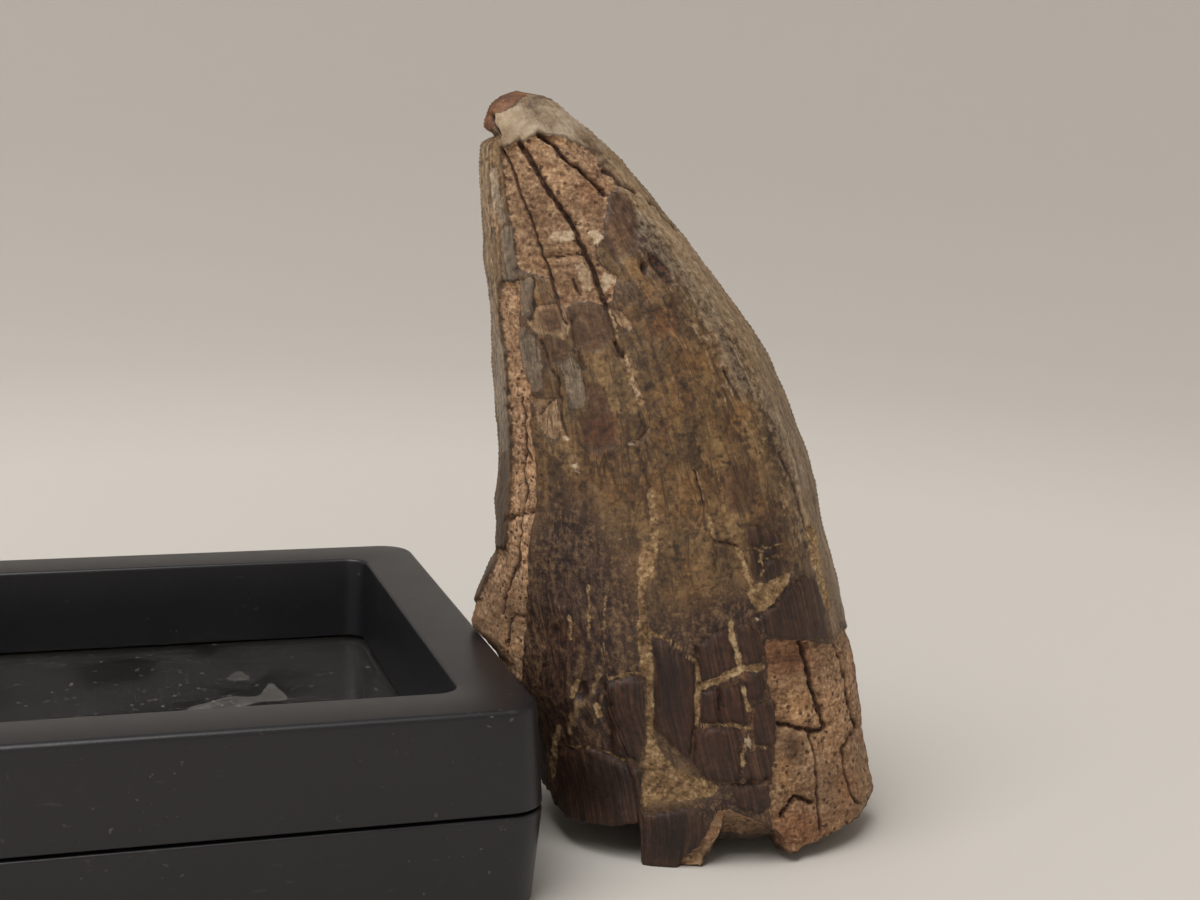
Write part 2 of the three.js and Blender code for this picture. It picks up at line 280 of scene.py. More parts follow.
bpy.context.scene.collection.objects.link(sweep)
print("sweep faces:", len(sweep_mesh.polygons))

# %% [markdown]
# ## Light
# The photograph is lit softly from above, with faint shadows to the right. One large softbox above and to
# the left gives those shadows, and an even, almost white world fills them.

# %% Lights
KEY_PLACE = Vector((-0.27, -0.2, 0.76))
KEY_AIM = Vector((0, 0, 0.03))
KEY_SIZE = 0.6
KEY_POWER = 5.75
KEY_COLOUR = (1.0, 0.985, 0.96)
FILL_STRENGTH = 0.42
FILL_COLOUR = (1.0, 0.995, 0.985, 1.0)

key_data = bpy.data.lights.new("softbox", "AREA")
key_data.shape = "SQUARE"
key_data.size = KEY_SIZE
key_data.energy = KEY_POWER
key_data.color = KEY_COLOUR
key = bpy.data.objects.new("softbox", key_data)
key.location = KEY_PLACE
key.rotation_euler = (KEY_AIM - KEY_PLACE).to_track_quat("-Z", "Y").to_euler()
bpy.context.scene.collection.objects.link(key)

world = bpy.data.worlds.new("soft_fill")
world.use_nodes = True
world.node_tree.nodes["Background"].inputs["Color"].default_value = FILL_COLOUR
world.node_tree.nodes["Background"].inputs["Strength"].default_value = FILL_STRENGTH
bpy.context.scene.world = world
bpy.context.scene.view_settings.view_transform = "Standard"
print("softbox power:", KEY_POWER, "fill:", FILL_STRENGTH)

# %% [markdown]
# ## Black plastic
# The case is moulded in black plastic with a fine matte texture, a little dust and a few pale scuffs.
# Noise at three sizes does this: the finest as a bump for the moulded grain, a middle one for uneven
# sheen, and rare bright dots for dust.

# %% Case plastic
def case_plastic_paint():
    paint = Paint("case_plastic")
    place = paint.place()
    grain = paint.noise(place, 5200.0, 2.0)
    sheen = paint.noise(place, 160.0, 4.0)
    dust_spread = paint.rise(paint.noise(place, 90.0, 3.0), 0.45, 0.75)
    dust = paint.rise(paint.noise(place, 1500.0, 1.0, 0.3), 0.72, 0.8) * dust_spread
    scuffs = paint.rise(paint.noise(paint.stretched(place, (1, 1, 3.5)), 420.0, 2.0, 0.4), 0.7, 0.82)
    colour = paint.mix(sheen, tone(21, 21, 25), tone(29, 29, 33))
    colour = paint.mix(scuffs * 0.12, colour, tone(110, 104, 98))
    colour = paint.mix(dust * 0.4, colour, tone(160, 150, 138))
    rough = 0.3 + 0.1 * sheen + 0.25 * dust
    normal = paint.bump(grain, 0.3, 0.06 * MM)
    sockets = {"Base Color": colour, "Roughness": rough, "Normal": normal, "IOR": 1.49}
    return paint.surface(paint.principled(sockets))


case_plastic = case_plastic_paint()
print("material:", case_plastic.name)

# %% [markdown]
# ## The two frames of the case
# Each half is a square frame with rounded corners, a sloping outside, a flat rim and a well, and a step
# inside that holds the film. A circle pushed out to a rounded square is the first loop of its section.
# That loop is extruded from corner to corner of the section, the last loop is bridged back to the first,
# and the ring edges that the hand can feel are bevelled. The lower half is the same piece turned over.

# %% Frames
RIM_HALF = 34.3
OUTER_HALF = 35.0
WELL_HALF = 27.3
WELL_FLOOR_HALF = 26.9
SEAT_HALF = 29.4
SEAT_TOP = 0.85
HALF_GAP = 0.15
CASE_CORNER = 4.0
WELL_CORNER = 2.5
RIM_ROUND = 0.7
WELL_ROUND = 0.4
SEAM_ROUND = 0.35
CORNER_STEPS = 10
SIDE_STEPS = 14
BEVEL_STEPS = 4
SHARP_ANGLE = math.radians(40)
frame_height = (case_high.z - case_low.z) / MM + HALF_GAP
parting_height = case_low.z / MM - HALF_GAP
case_centre = (case_low + case_high) / 2


def rounded_square(half, corner):
    """Points round a square with arcs for corners, in order, the same number for any size."""
    points = []
    for quarter in range(4):
        turn = Matrix.Rotation(quarter * math.pi / 2, 2)
        centre = Vector((half - corner, half - corner))
        for step in range(CORNER_STEPS + 1):
            angle = math.pi / 2 * step / CORNER_STEPS
            points.append(turn @ (centre + corner * Vector((math.cos(angle), math.sin(angle)))))
        for step in range(1, SIDE_STEPS):
            points.append(turn @ Vector((centre.x * (1 - 2 * step / SIDE_STEPS), half)))
    return points


def place_loop(verts, half, corner, height):
    for vert, point in zip(verts, rounded_square(half, corner)):
        vert.co = Vector((point.x, point.y, height))


def case_frame(name, node, turned_over):
    section = [(SEAT_HALF, WELL_CORNER + SEAT_HALF - WELL_HALF, HALF_GAP, 0),
               (OUTER_HALF, CASE_CORNER, HALF_GAP, SEAM_ROUND),
               (RIM_HALF, CASE_CORNER, frame_height, RIM_ROUND),
               (WELL_HALF, WELL_CORNER, frame_height, WELL_ROUND),
               (WELL_FLOOR_HALF, WELL_CORNER, SEAT_TOP, 0),
               (SEAT_HALF, WELL_CORNER + SEAT_HALF - WELL_HALF, SEAT_TOP, 0)]
    maker = bmesh.new()
    count = 4 * (CORNER_STEPS + SIDE_STEPS)
    ring = bmesh.ops.create_circle(maker, segments=count, radius=1)["verts"]
    place_loop(ring, *section[0][:3])
    first_edges = list(maker.edges)
    last_edges = first_edges
    rounds = []
    for half, corner, height, radius in section[1:]:
        grown = bmesh.ops.extrude_edge_only(maker, edges=last_edges)["geom"]
        ring = [part for part in grown if isinstance(part, bmesh.types.BMVert)]
        ring_edges = {edge for vert in ring for edge in vert.link_edges if edge.other_vert(vert) in ring}
        last_edges = list(ring_edges)
        place_loop(ring, half, corner, height)
        if radius:
            rounds.append((last_edges, radius))
    bmesh.ops.bridge_loops(maker, edges=first_edges + last_edges)
    for ring_edges, radius in rounds:
        bmesh.ops.bevel(maker, geom=ring_edges, offset=radius, offset_type="OFFSET", affect="EDGES",
                        segments=BEVEL_STEPS, profile=0.5, material=-1, clamp_overlap=True)
    flip = -1 if turned_over else 1
    move = Matrix.Translation((case_centre.x, case_centre.y, parting_height * MM))
    bmesh.ops.transform(maker, matrix=move @ Matrix.Diagonal((MM, MM, flip * MM, 1)), verts=maker.verts)
    bmesh.ops.recalc_face_normals(maker, faces=maker.faces)
    piece = finish_mesh(maker, name, node, case_plastic)
    piece.data.set_sharp_from_angle(angle=SHARP_ANGLE)
    return piece


case_frame("case_upper_half", "case_upper_frame", False)
case_frame("case_lower_half", "case_lower_frame", True)

# %% [markdown]
# ## Clear films
# A stretchy clear film spans each half at the parting plane, and the two touch when nothing lies between
# them. Seen along its surface it looks dark, because the black walls show through it, with dust, and with
# one crumpled place where it mirrors the pale room. A grid pushed into soft wrinkles and a few folds, and
# then given a thickness, makes the sheet; the dust is a dull layer mixed over clear transmission.

# %% Film material and sheets
FILM_HALF = 28.0
FILM_CUTS = 90
FILM_THICKNESS = 0.12
FILM_HEIGHT = 0.4
WRINKLE_SIZE = 9.0
WRINKLE_HEIGHT = 0.05
FLAT_BORDER = 2.0
FOLD_CENTRE = Vector((-25.2, 43.0))
FOLDS = [((3.2, -5.0), (4.6, 7.0)), ((0.2, 3.0), (1.2, 9.0)), ((-6.0, -7.0), (2.0, -2.0))]
FOLD_WIDTH = 2.0
FOLD_HEIGHT = 0.7


def film_paint():
    paint = Paint("film")
    place = paint.place()
    haze = paint.rise(paint.noise(place, 75.0, 3.0), 0.36, 0.5)
    specks = paint.rise(paint.cells(place, 700.0), 0.22, 0.12)
    specks = specks * paint.rise(paint.noise(place, 330.0, 2.0), 0.4, 0.52)
    clear = paint.principled({"Base Color": tone(243, 245, 248), "Roughness": 0.06, "IOR": 1.42,
                              "Transmission Weight": 1.0})
    dust = paint.principled({"Base Color": tone(152, 147, 141), "Roughness": 0.9})
    cover = 0.005 + 0.032 * haze + 0.28 * specks
    return paint.surface(paint.node("ShaderNodeMixShader", sockets={0: cover, 1: clear, 2: dust}))


film_material = film_paint()


def film(name, node, side, wrinkle_seed):
    maker = bmesh.new()
    bmesh.ops.create_grid(maker, x_segments=FILM_CUTS, y_segments=FILM_CUTS, size=FILM_HALF)
    corner = Vector(((rim_corner.x - case_centre.x) / MM, (rim_corner.y - case_centre.y) / MM))
    for vert in maker.verts:
        spread = Vector((vert.co.x / WRINKLE_SIZE, vert.co.y / WRINKLE_SIZE, wrinkle_seed))
        wave = abs(WRINKLE_HEIGHT * noise.noise(spread))
        spot = vert.co.xy - corner - FOLD_CENTRE
        for start, end in FOLDS:
            beside, along = geometry.intersect_point_line(spot, Vector(start), Vector(end))
            tent = 1 - (spot - beside.xy).length / FOLD_WIDTH
            wave = max(wave, FOLD_HEIGHT * min(tent, 2 * along, 2 - 2 * along))
        edge = min(1.0, (FILM_HALF - max(abs(vert.co.x), abs(vert.co.y))) / FLAT_BORDER)
        vert.co.z = side * (FILM_HEIGHT + edge * wave)
    bmesh.ops.solidify(maker, geom=list(maker.faces), thickness=FILM_THICKNESS)
    move = Matrix.Translation((case_centre.x, case_centre.y, parting_height * MM))
    bmesh.ops.transform(maker, matrix=move @ Matrix.Diagonal((MM, MM, MM, 1)), verts=maker.verts)
    bmesh.ops.recalc_face_normals(maker, faces=maker.faces)
    return finish_mesh(maker, name, node, film_material)


film("clear_film_upper", "upper_film", 1, 3.0)
film("clear_film_lower", "lower_film", -1, 11.0)

# %% [markdown]
# ## The tooth's form
# The tooth is a curved blade: two cutting edges, a swollen front and back, a worn tip, a spur and a broken
# hollow root. Its edges and swells are measured points, joined by curves that never overshoot them. At any
# height they give a section: two half ovals that meet in a small keel at each edge.

# %% Outlines of the tooth
TIP_HEIGHT = 81.8
# Edges, swells and spur are (height, place) in mm; the broken rims are (place, height)
REAR_EDGE = [
    (0, -18.6), (9, -20.1), (15.3, -22.4), (18.3, -23.8), (22, -24), (31, -25.1), (36, -25.2),
    (40, -24.9), (47.5, -25.5), (57.6, -26.4), (65.6, -27.3), (74.5, -27.9), (78.6, -27.5), (80, -27.2),
    (81, -26.3), (TIP_HEIGHT, -24.1),
]
FORE_EDGE = [
    (0, 18.6), (4.5, 19.9), (7, 19.3), (12, 18.1), (21, 16.45), (24, 15.4), (30, 13.7), (35.5, 11.9),
    (43, 9.7), (49, 7.1), (55.7, 3.6), (59, 1.05), (62.3, -1.4), (68, -6.4), (73.9, -11.6), (77.2, -15),
    (80, -18.8), (81.2, -21.2), (TIP_HEIGHT, -24.1),
]
FRONT_SWELL = [
    (0, 15), (10, 15), (20, 14.8), (30, 14.2), (40, 13.2), (50, 11.7), (60, 9.6), (70, 7), (76, 5.2),
    (80, 3), (TIP_HEIGHT, 0),
]
BACK_SWELL = [
    (0, 13.5), (10, 13.6), (30, 12.6), (50, 10.4), (60, 8.8), (70, 6.5), (76, 4.8), (80, 2.8),
    (TIP_HEIGHT, 0),
]
SPUR_REACH = [(15.3, 0), (18.3, 0.9), (20.8, 2.7), (22.2, 3.7), (24.7, 2.9), (28.8, 1.1), (31, 0)]
FRONT_RIM = [
    (-18.5, 5.3), (-17.2, 4.9), (-16.6, 4.3), (-15.4, 3.4), (-7.8, 4.6), (-7.4, 0), (-0.9, 0),
    (-0.3, 1.8), (1.6, 6.6), (3.4, 5.8), (6.6, 3.8), (8.8, 1.2), (13.4, 2), (17, 2.6), (18.5, 4),
]
BACK_RIM = [
    (-18.5, 6.5), (-15, 3), (-9, 0), (-4, 0), (-1, 1.8), (4, 2.4), (7, 0), (12, 0), (16, 1.8),
    (18.5, 4),
]
CREST = 0.45  # thickest place, as a share of the width from the rear edge
REAR_FULLNESS = 2.5  # superellipse powers of the two halves of a section
FORE_FULLNESS = 2.1
SPUR_SPREAD = 0.42  # share of the half thickness that the spur takes up
KEEL_HEIGHT = 0.5
KEEL_SHARE = 0.04  # of the width, where the tip is too narrow for the full keel
KEEL_SPREAD = 0.14
HOLLOW_TOP = (-1.0, -0.5, 7.5)
WALL_SHARE = (0.14, 0.6)  # where the hollow starts to rise and where it levels out
TOOTH_FROM_CORNER = Vector((25.5, 20.3)) * MM
TOOTH_TURN = math.radians(-18.1)


def smooth(value, low, high):
    """0 below low, 1 above high, with a smooth step between."""
    share = np.clip((value - low) / (high - low), 0, 1)
    return share * share * (3 - 2 * share)


def curve(points, at):
    """A cubic through measured points, with slopes held down so that it never overshoots."""
    known, value = np.array(points, float).T
    step = np.diff(known)
    slope = np.diff(value) / step
    product = slope[:-1] * slope[1:]
    total = slope[:-1] + slope[1:]
    inner = np.where(product > 0, 2 * product / np.where(product > 0, total, 1), 0)
    lean = np.concatenate([slope[:1], inner, slope[-1:]])
    at = np.clip(at, known[0], known[-1])
    i = np.clip(np.searchsorted(known, at, "right") - 1, 0, len(step) - 1)
    t = (at - known[i]) / step[i]
    rest = 1 - t
    ends = value[i] * (1 + 2 * t) * rest ** 2 + value[i + 1] * t * t * (3 - 2 * t)
    return ends + step[i] * (lean[i] * t * rest ** 2 - lean[i + 1] * t * t * rest)


def tooth_section(turn, height):
    """x and y of the skin at an angle round the tooth and a height, in the tooth's own frame."""
    rear, fore = curve(REAR_EDGE, height), curve(FORE_EDGE, height)
    crest = rear + (fore - rear) * CREST
    keel = np.minimum(KEEL_HEIGHT, KEEL_SHARE * (fore - rear))
    across, out = np.cos(turn), np.sin(turn)
    is_rear = across > 0
    reach = np.where(is_rear, crest - rear - keel, fore - keel - crest)
    power = 2 / np.where(is_rear, REAR_FULLNESS, FORE_FULLNESS)
    spur = np.where(is_rear, curve(SPUR_REACH, height), 0) * np.exp(-(out / SPUR_SPREAD) ** 2)
    edge = keel * np.exp(-(out / KEEL_SPREAD) ** 2)
    swell = np.where(out > 0, curve(FRONT_SWELL, height), curve(BACK_SWELL, height))
    x = crest - np.where(is_rear, 1, -1) * (reach * np.abs(across) ** power + edge + spur)
    y = -np.sign(out) * swell * np.abs(out) ** power
    return x, y


half_way_width = curve(FORE_EDGE, TIP_HEIGHT / 2) - curve(REAR_EDGE, TIP_HEIGHT / 2)
print("width at half height in mm:", round(float(half_way_width), 1))

# %% [markdown]
# ## One closed skin
# A sphere has rows and columns that already close at both ends, so it is moved onto the tooth. Each row
# becomes a section, from the tip down to the broken rim, and the last rows turn in under the root. The front
# gets most of the columns, because the finest detail is there.

# %% Sphere moved onto the tooth
FRONT_COLUMNS = 224
BACK_COLUMNS = 72
WALL_ROWS = 308
HOLLOW_ROWS = 26
ROW_CROWDING = 1.12  # above 1, rows lie closer together near the tip
RIM_LUMPS = 0.5
RIM_LUMP_SIZE = 1.3
RIM_LOWEST = 0.02
ARCH_LEFT = (0.2, 1.6)
ARCH_RIGHT = (6.0, 8.0)
SILL_HEIGHT = 2.6  # of the lip inside the arch of the root
SILL_AT = 0.16
SILL_WIDTH = 0.09

columns = FRONT_COLUMNS + BACK_COLUMNS
rows = WALL_ROWS + HOLLOW_ROWS
tooth_maker = bmesh.new()
bmesh.ops.create_uvsphere(tooth_maker, u_segments=columns, v_segments=rows, radius=1)
tooth_mesh = bpy.data.meshes.new("tooth")
tooth_maker.to_mesh(tooth_mesh)
tooth_maker.free()


def read_mesh(mesh, kind):
    values = np.empty(len(mesh.vertices) * 3, np.float32)
    mesh.vertices.foreach_get(kind, values)
    return values.reshape(-1, 3).astype(float)


ball = read_mesh(tooth_mesh, "co")
row = np.rint(np.arccos(np.clip(ball[:, 2], -1, 1)) / math.pi * rows)
column = np.rint((np.arctan2(ball[:, 1], ball[:, 0]) / (2 * math.pi) + 0.5) * columns) % columns
on_front = column < FRONT_COLUMNS
turn = math.pi * np.where(on_front, column / FRONT_COLUMNS, 1 + (column - FRONT_COLUMNS) / BACK_COLUMNS)


def grain(points, size, seed=0.0):
    """Smooth noise from -1 to 1 at each point, with lumps of about the given size."""
    shifted = np.asarray(points) / size + seed
    return np.array([noise.noise(Vector(point)) for point in shifted])


foot_x, foot_y = tooth_section(turn, np.zeros(len(turn)))
round_foot = np.stack([foot_x, foot_y, np.zeros(len(turn))], axis=1)
rim = np.where(on_front, curve(FRONT_RIM, foot_x), curve(BACK_RIM, foot_x))
rim = rim + RIM_LUMPS * grain(round_foot, RIM_LUMP_SIZE) * smooth(rim, 0.2, 2.0)
rim = np.maximum(RIM_LOWEST, rim)
down = np.minimum(row / WALL_ROWS, 1) ** ROW_CROWDING
height = TIP_HEIGHT + (rim - TIP_HEIGHT) * down
x, y = tooth_section(turn, height)
inward = np.clip((row - WALL_ROWS) / HOLLOW_ROWS, 0, 1)
x += (HOLLOW_TOP[0] - x) * inward
y += (HOLLOW_TOP[1] - y) * inward
height += (HOLLOW_TOP[2] - height) * smooth(inward, *WALL_SHARE)
in_arch = on_front * smooth(foot_x, *ARCH_LEFT) * (1 - smooth(foot_x, *ARCH_RIGHT)) * (inward > 0)
sill = np.exp(-((inward - SILL_AT) / SILL_WIDTH) ** 2)
height -= in_arch * sill * np.maximum(height - SILL_HEIGHT, 0)
skin = np.stack([x, y, height], axis=1)
print("sphere of", len(skin), "points moved onto the tooth")

# %% [markdown]
# ## Where things are on the photograph
# Cracks, flaked patches and veins were measured on the photograph, as pixels along each line or round each
# patch. Every point of the skin that faces the camera knows its own pixel, so its distance to each line
# can be worked out. The distances are bent by a little noise first, which makes the borders ragged as a
# break in enamel is.

# %% Pixels of the skin
PIXEL = 0.111  # mm of the tooth that one pixel covers
RAGGED = 2.0  # how far borders wander, in pixels
BACK_RAGGED = 1.5
LUMP_SIZE = 1.1
SMALL_LUMP_SIZE = 0.45
SMALL_LUMP_SHARE = 0.6
SEEN_UNDER = 0.35

tooth_turn = np.array(Matrix.Rotation(TOOTH_TURN, 3, "Z"))
tooth_place = np.array([rim_corner.x + TOOTH_FROM_CORNER.x, rim_corner.y + TOOTH_FROM_CORNER.y, 0])


def in_frame(points):
    """Points of the tooth's own frame, in mm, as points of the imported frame, in metres."""
    return points * MM @ tooth_turn.T + tooth_place


tooth_mesh.vertices.foreach_set("co", in_frame(skin).astype(np.float32).ravel())
tooth_mesh.update()
facing = (read_mesh(tooth_mesh, "normal") * (in_frame(skin) - np.array(camera_place))).sum(axis=1) < 0
normals = read_mesh(tooth_mesh, "normal") @ tooth_turn
wander = np.stack([grain(skin, LUMP_SIZE, seed) + SMALL_LUMP_SHARE * grain(skin, SMALL_LUMP_SIZE, seed + 4)
                   for seed in (5.0, 15.0)], axis=1)
pixels = photo_pixels(in_frame(skin)) + RAGGED * wander
behind = np.stack([skin[:, 0], skin[:, 2]], axis=1) + RAGGED * PIXEL * BACK_RAGGED * wander
seen = facing & on_front & (inward < SEEN_UNDER)


def near(points, line):
    """Distance of each point from a line of joined points."""
    best = np.full(len(points), np.inf)
    for start, end in zip(np.array(line[:-1], float), np.array(line[1:], float)):
        along = end - start
        share = np.clip(((points - start) @ along) / (along @ along), 0, 1)
        best = np.minimum(best, np.linalg.norm(points - start - share[:, None] * along, axis=1))
    return best


def within(points, outline):
    """Distance of each point from an outline, above 0 inside it and below 0 outside."""
    loop = list(outline) + [outline[0]]
    inside = np.zeros(len(points), bool)
    for (ax, ay), (bx, by) in zip(loop[:-1], loop[1:]):
        crosses = (ay > points[:, 1]) != (by > points[:, 1])
        slope = (bx - ax) / (by - ay) if by != ay else 0
        inside ^= crosses & (points[:, 0] < ax + (points[:, 1] - ay) * slope)
    return np.where(inside, 1, -1) * near(points, loop)


def patches(front=(), back=()):
    """How far inside the nearest of some patches each point of the skin lies, in mm."""
    depth = np.full(len(skin), -9.0)
    for outline in front:
        depth[seen] = np.maximum(depth[seen], within(pixels[seen], outline) * PIXEL)
    for outline in back:
        depth[~seen] = np.maximum(depth[~seen], within(behind[~seen], outline))
    return depth


def strokes(front=(), back=()):
    """How far inside the nearest of some drawn lines, each with its width, each point lies, in mm."""
    depth = np.full(len(skin), -9.0)
    for width, line in front:
        depth[seen] = np.maximum(depth[seen], (width / 2 - near(pixels[seen], line)) * PIXEL)
    for width, line in back:
        depth[~seen] = np.maximum(depth[~seen], width / 2 - near(behind[~seen], line))
    return depth


def soft(spots, both_sides=False):
    """A soft spot round each of some pixels: (across, down, half width, half height, strength)."""
    stain = np.zeros(len(skin))
    for across, down, half_wide, half_high, strength in spots:
        away = ((pixels[:, 0] - across) / half_wide) ** 2 + ((pixels[:, 1] - down) / half_high) ** 2
        stain = np.maximum(stain, strength * np.exp(-away) * (seen | both_sides))
    return stain


print("points that face the camera:", int(seen.sum()))

# %% [markdown]
# ## Bare dentine
# Where enamel has flaked off, the paler, porous dentine shows: below the tip, in a strip down the left edge
# to the spur, and at the lower right. It lies a little lower than the enamel. On the back, which the
# photograph doesn't show, patches of the same kind are guessed.

# %% Patches of dentine
UPPER_DENTINE = [
    (499.5, 147), (510, 145), (516, 141), (523, 141), (538.6, 132.6), (546, 134), (566, 136),
    (580, 144), (598, 152), (604, 168), (618, 184), (617, 190), (607, 194), (608, 210), (603, 221),
    (605, 228), (597, 242), (596, 255), (603, 268), (618, 275), (614, 286), (613, 299), (605, 305),
    (591, 302), (574, 302), (566, 308), (559, 303), (554, 290), (550, 278), (540, 276), (519, 271),
    (513, 233), (508, 211), (504, 182),
]
LEFT_DENTINE = [
    (500, 282), (519, 281), (519, 330), (518, 346), (523, 370), (529, 389), (530, 426), (534, 454),
    (535, 489), (534, 513), (529, 529), (527, 579), (525, 619), (522, 649), (520, 682), (500, 665),
    (460, 640), (460, 606), (477, 601), (484, 589), (489, 575), (494, 559), (496, 550), (507, 548),
    (510, 505), (510, 434), (508, 362), (502, 320),
]
LOWER_DENTINE = [
    (766, 640), (803, 640), (834, 645), (846, 625), (890, 640), (890, 860), (775, 850), (771, 811),
    (771, 790), (775, 774), (777, 744), (778, 723), (776, 703), (768, 684),
]
BACK_MIDDLE = [
    (-20, 46), (-18.5, 49.5), (-16.5, 48.5), (-14.5, 51), (-13, 47), (-13.5, 44), (-10.5, 41),
    (-11.5, 37.5), (-10.5, 33), (-12, 30), (-14, 29.5), (-14.5, 25.5), (-17, 27), (-18, 31), (-20, 33),
    (-19.3, 39),
]
BACK_ROOT = [
    (1.5, 25), (3.5, 28.5), (6, 28), (7.5, 31.5), (10, 29), (10, 25), (12, 21), (11, 17), (12, 12),
    (10.5, 8.5), (8, 9.5), (5.5, 6.5), (4, 9.5), (1, 11), (1.8, 15.5), (0, 19),
]
BACK_SPUR = [(-30, 34), (-21.5, 31), (-19.5, 22), (-18, 12), (-30, 10)]
BACK_EDGE = [
    (13, 22), (14.5, 25), (17, 24), (30, 27), (30, -3), (14.5, -3), (13, 4), (14.5, 9), (13.2, 15),
]
ARCH_FACE = [
    (715, 812), (727, 809), (743, 815), (762, 825), (773, 832), (768, 844), (740, 842), (717, 850),
    (703, 868), (681, 870), (681, 860), (699, 846), (708, 831),
]

dentine = patches([UPPER_DENTINE, LEFT_DENTINE, LOWER_DENTINE, ARCH_FACE],
                  [BACK_MIDDLE, BACK_ROOT, BACK_SPUR, BACK_EDGE])
print("share of the skin that is dentine:", round(float((dentine > 0).mean()), 3))

# %% [markdown]
# ## Cracks and pits
# Long cracks run down the crown, split the dentine and cross the root. Each is a line with a width in
# pixels. The widest are gaps that a fingernail would catch; the finest are hairlines. The pits are small
# outlines, and the notch at the tip is a soft spot. At the back, widths and places are in millimetres.

# %% Crack lines
WIDE_CRACKS = [
    (5.5, [(519, 142), (530, 158), (542, 180), (556, 200), (569, 217), (583, 246), (592, 265),
     (600, 286), (606, 305)]),
    (4.0, [(538.6, 133), (546, 137), (555, 144), (570, 161), (586, 172.5), (598, 184), (606, 193)]),
    (3.5, [(605, 169), (614, 174), (620, 182), (636, 192)]),
    (4.5, [(491, 116), (493, 126), (496.7, 135)]),
    (5.0, [(803, 642), (809, 662), (815, 690), (826, 717), (831, 727)]),
    (4.0, [(831, 727), (824, 733.5), (815, 731), (791, 727), (781, 725)]),
    (4.0, [(783, 817), (791, 805), (797, 797), (809, 803), (816, 804)]),
    (5.0, [(856, 717), (861, 726)]),
    (3.5, [(615, 343), (622.8, 357)]),
]
FINE_CRACKS = [
    (2.6, [(500, 148.6), (509, 166), (519, 195), (530, 217), (536, 238), (548, 270), (554, 292),
     (566, 325)]),
    (2.4, [(550, 256), (569, 254), (585, 253)]),
    (2.6, [(573, 279), (576, 287), (580, 294)]),
    (2.2, [(518, 399), (522, 426), (522.6, 454), (518, 473), (522.6, 493), (519, 515), (516, 553),
     (516, 567), (510, 573)]),
    (2.0, [(522.6, 450), (528, 462)]),
    (2.4, [(508, 520), (511, 516), (519, 515), (533, 512)]),
    (2.4, [(517, 560), (508, 578), (502.6, 595), (499.7, 613)]),
    (2.4, [(525, 618), (510, 616), (506, 625), (505, 648)]),
    (2.0, [(606, 305), (613, 330), (615, 343)]),
    (1.6, [(642.4, 420), (648, 428), (641, 437), (631, 444)]),
    (2.0, [(638, 450), (644, 465), (650, 489)]),
    (2.2, [(694, 469), (699, 486), (705, 508)]),
    (2.4, [(713, 537), (717, 542), (730, 543), (738, 546)]),
    (1.8, [(717, 549), (716, 573)]),
    (2.0, [(557, 376), (558, 389), (562, 409), (560, 420), (567, 438)]),
    (1.6, [(581, 363), (584, 380), (585, 397)]),
    (2.0, [(724, 369), (731, 383), (741, 400)]),
    (2.4, [(813, 733), (820, 756), (821, 790), (823, 823), (825, 834)]),
    (2.2, [(838, 642), (848, 670), (853, 703), (857, 718)]),
    (2.4, [(861, 727), (848, 748), (850, 772), (858, 797), (864, 805)]),
    (1.8, [(533, 278), (534, 306), (529, 320)]),
    (1.8, [(540, 416), (546, 405), (556, 399)]),
    (1.4, [(571, 320), (575, 345), (582, 366)]),
    (1.4, [(541, 342), (549, 365), (556, 380)]),
    (1.4, [(604, 452), (604, 470), (600, 490)]),
    (2.0, [(780, 452), (791, 478), (797, 493), (803, 514), (808, 534)]),
    (1.6, [(648, 200), (664, 216), (678, 231)]),
    (1.6, [(720, 690), (720, 723)]),
    (2.0, [(734, 786), (754, 784), (771, 780)]),
    (2.0, [(697, 646), (701, 685)]),
    (1.8, [(604, 680), (606, 720), (612, 755)]),
]
BACK_CRACKS = [
    (0.5, [(-19, 74), (-17, 66), (-15.5, 56), (-12, 44), (-11, 31)]),
    (0.5, [(-7, 65), (-4, 52), (1, 38), (3, 28)]),
    (0.45, [(-9, 25), (-6.5, 13), (-5, 2)]),
    (0.45, [(10, 30), (13, 18), (14, 6)]),
    (0.3, [(-17, 48), (-14.5, 40), (-15.5, 31)]),
    (0.3, [(4, 24), (6, 17), (5.5, 9)]),
    (0.3, [(-10, 60), (-9, 50), (-6, 42)]),
]
BACK_WIDE = 4
PITS = [
    [(642, 261), (646, 260), (650, 266), (648, 273), (644, 274), (641, 268)],
    [(649, 255), (658, 255), (665, 264), (671, 272), (674, 283), (667, 286), (660, 276), (653, 266)],
    [(579, 682), (585, 681), (588, 690), (583, 700), (578, 694)],
]
TIP_NOTCH = [(484, 135, 10, 5, 1.0)]

wide_crack = strokes(WIDE_CRACKS, BACK_CRACKS[:BACK_WIDE])
fine_crack = strokes(FINE_CRACKS, BACK_CRACKS[BACK_WIDE:])
crack = np.maximum(wide_crack, fine_crack)
pit = patches(PITS)
notch = soft(TIP_NOTCH, both_sides=True)
print("cracks:", len(WIDE_CRACKS) + len(FINE_CRACKS), "seen and", len(BACK_CRACKS), "guessed at the back")

# %% [markdown]
# ## Dark enamel, blocks and veins
# Low on the crown the enamel is stained nearly black. The stain fades out upwards in streaks. On the right
# it has broken into blocks with sharp borders, with golden sediment in the veins between them.

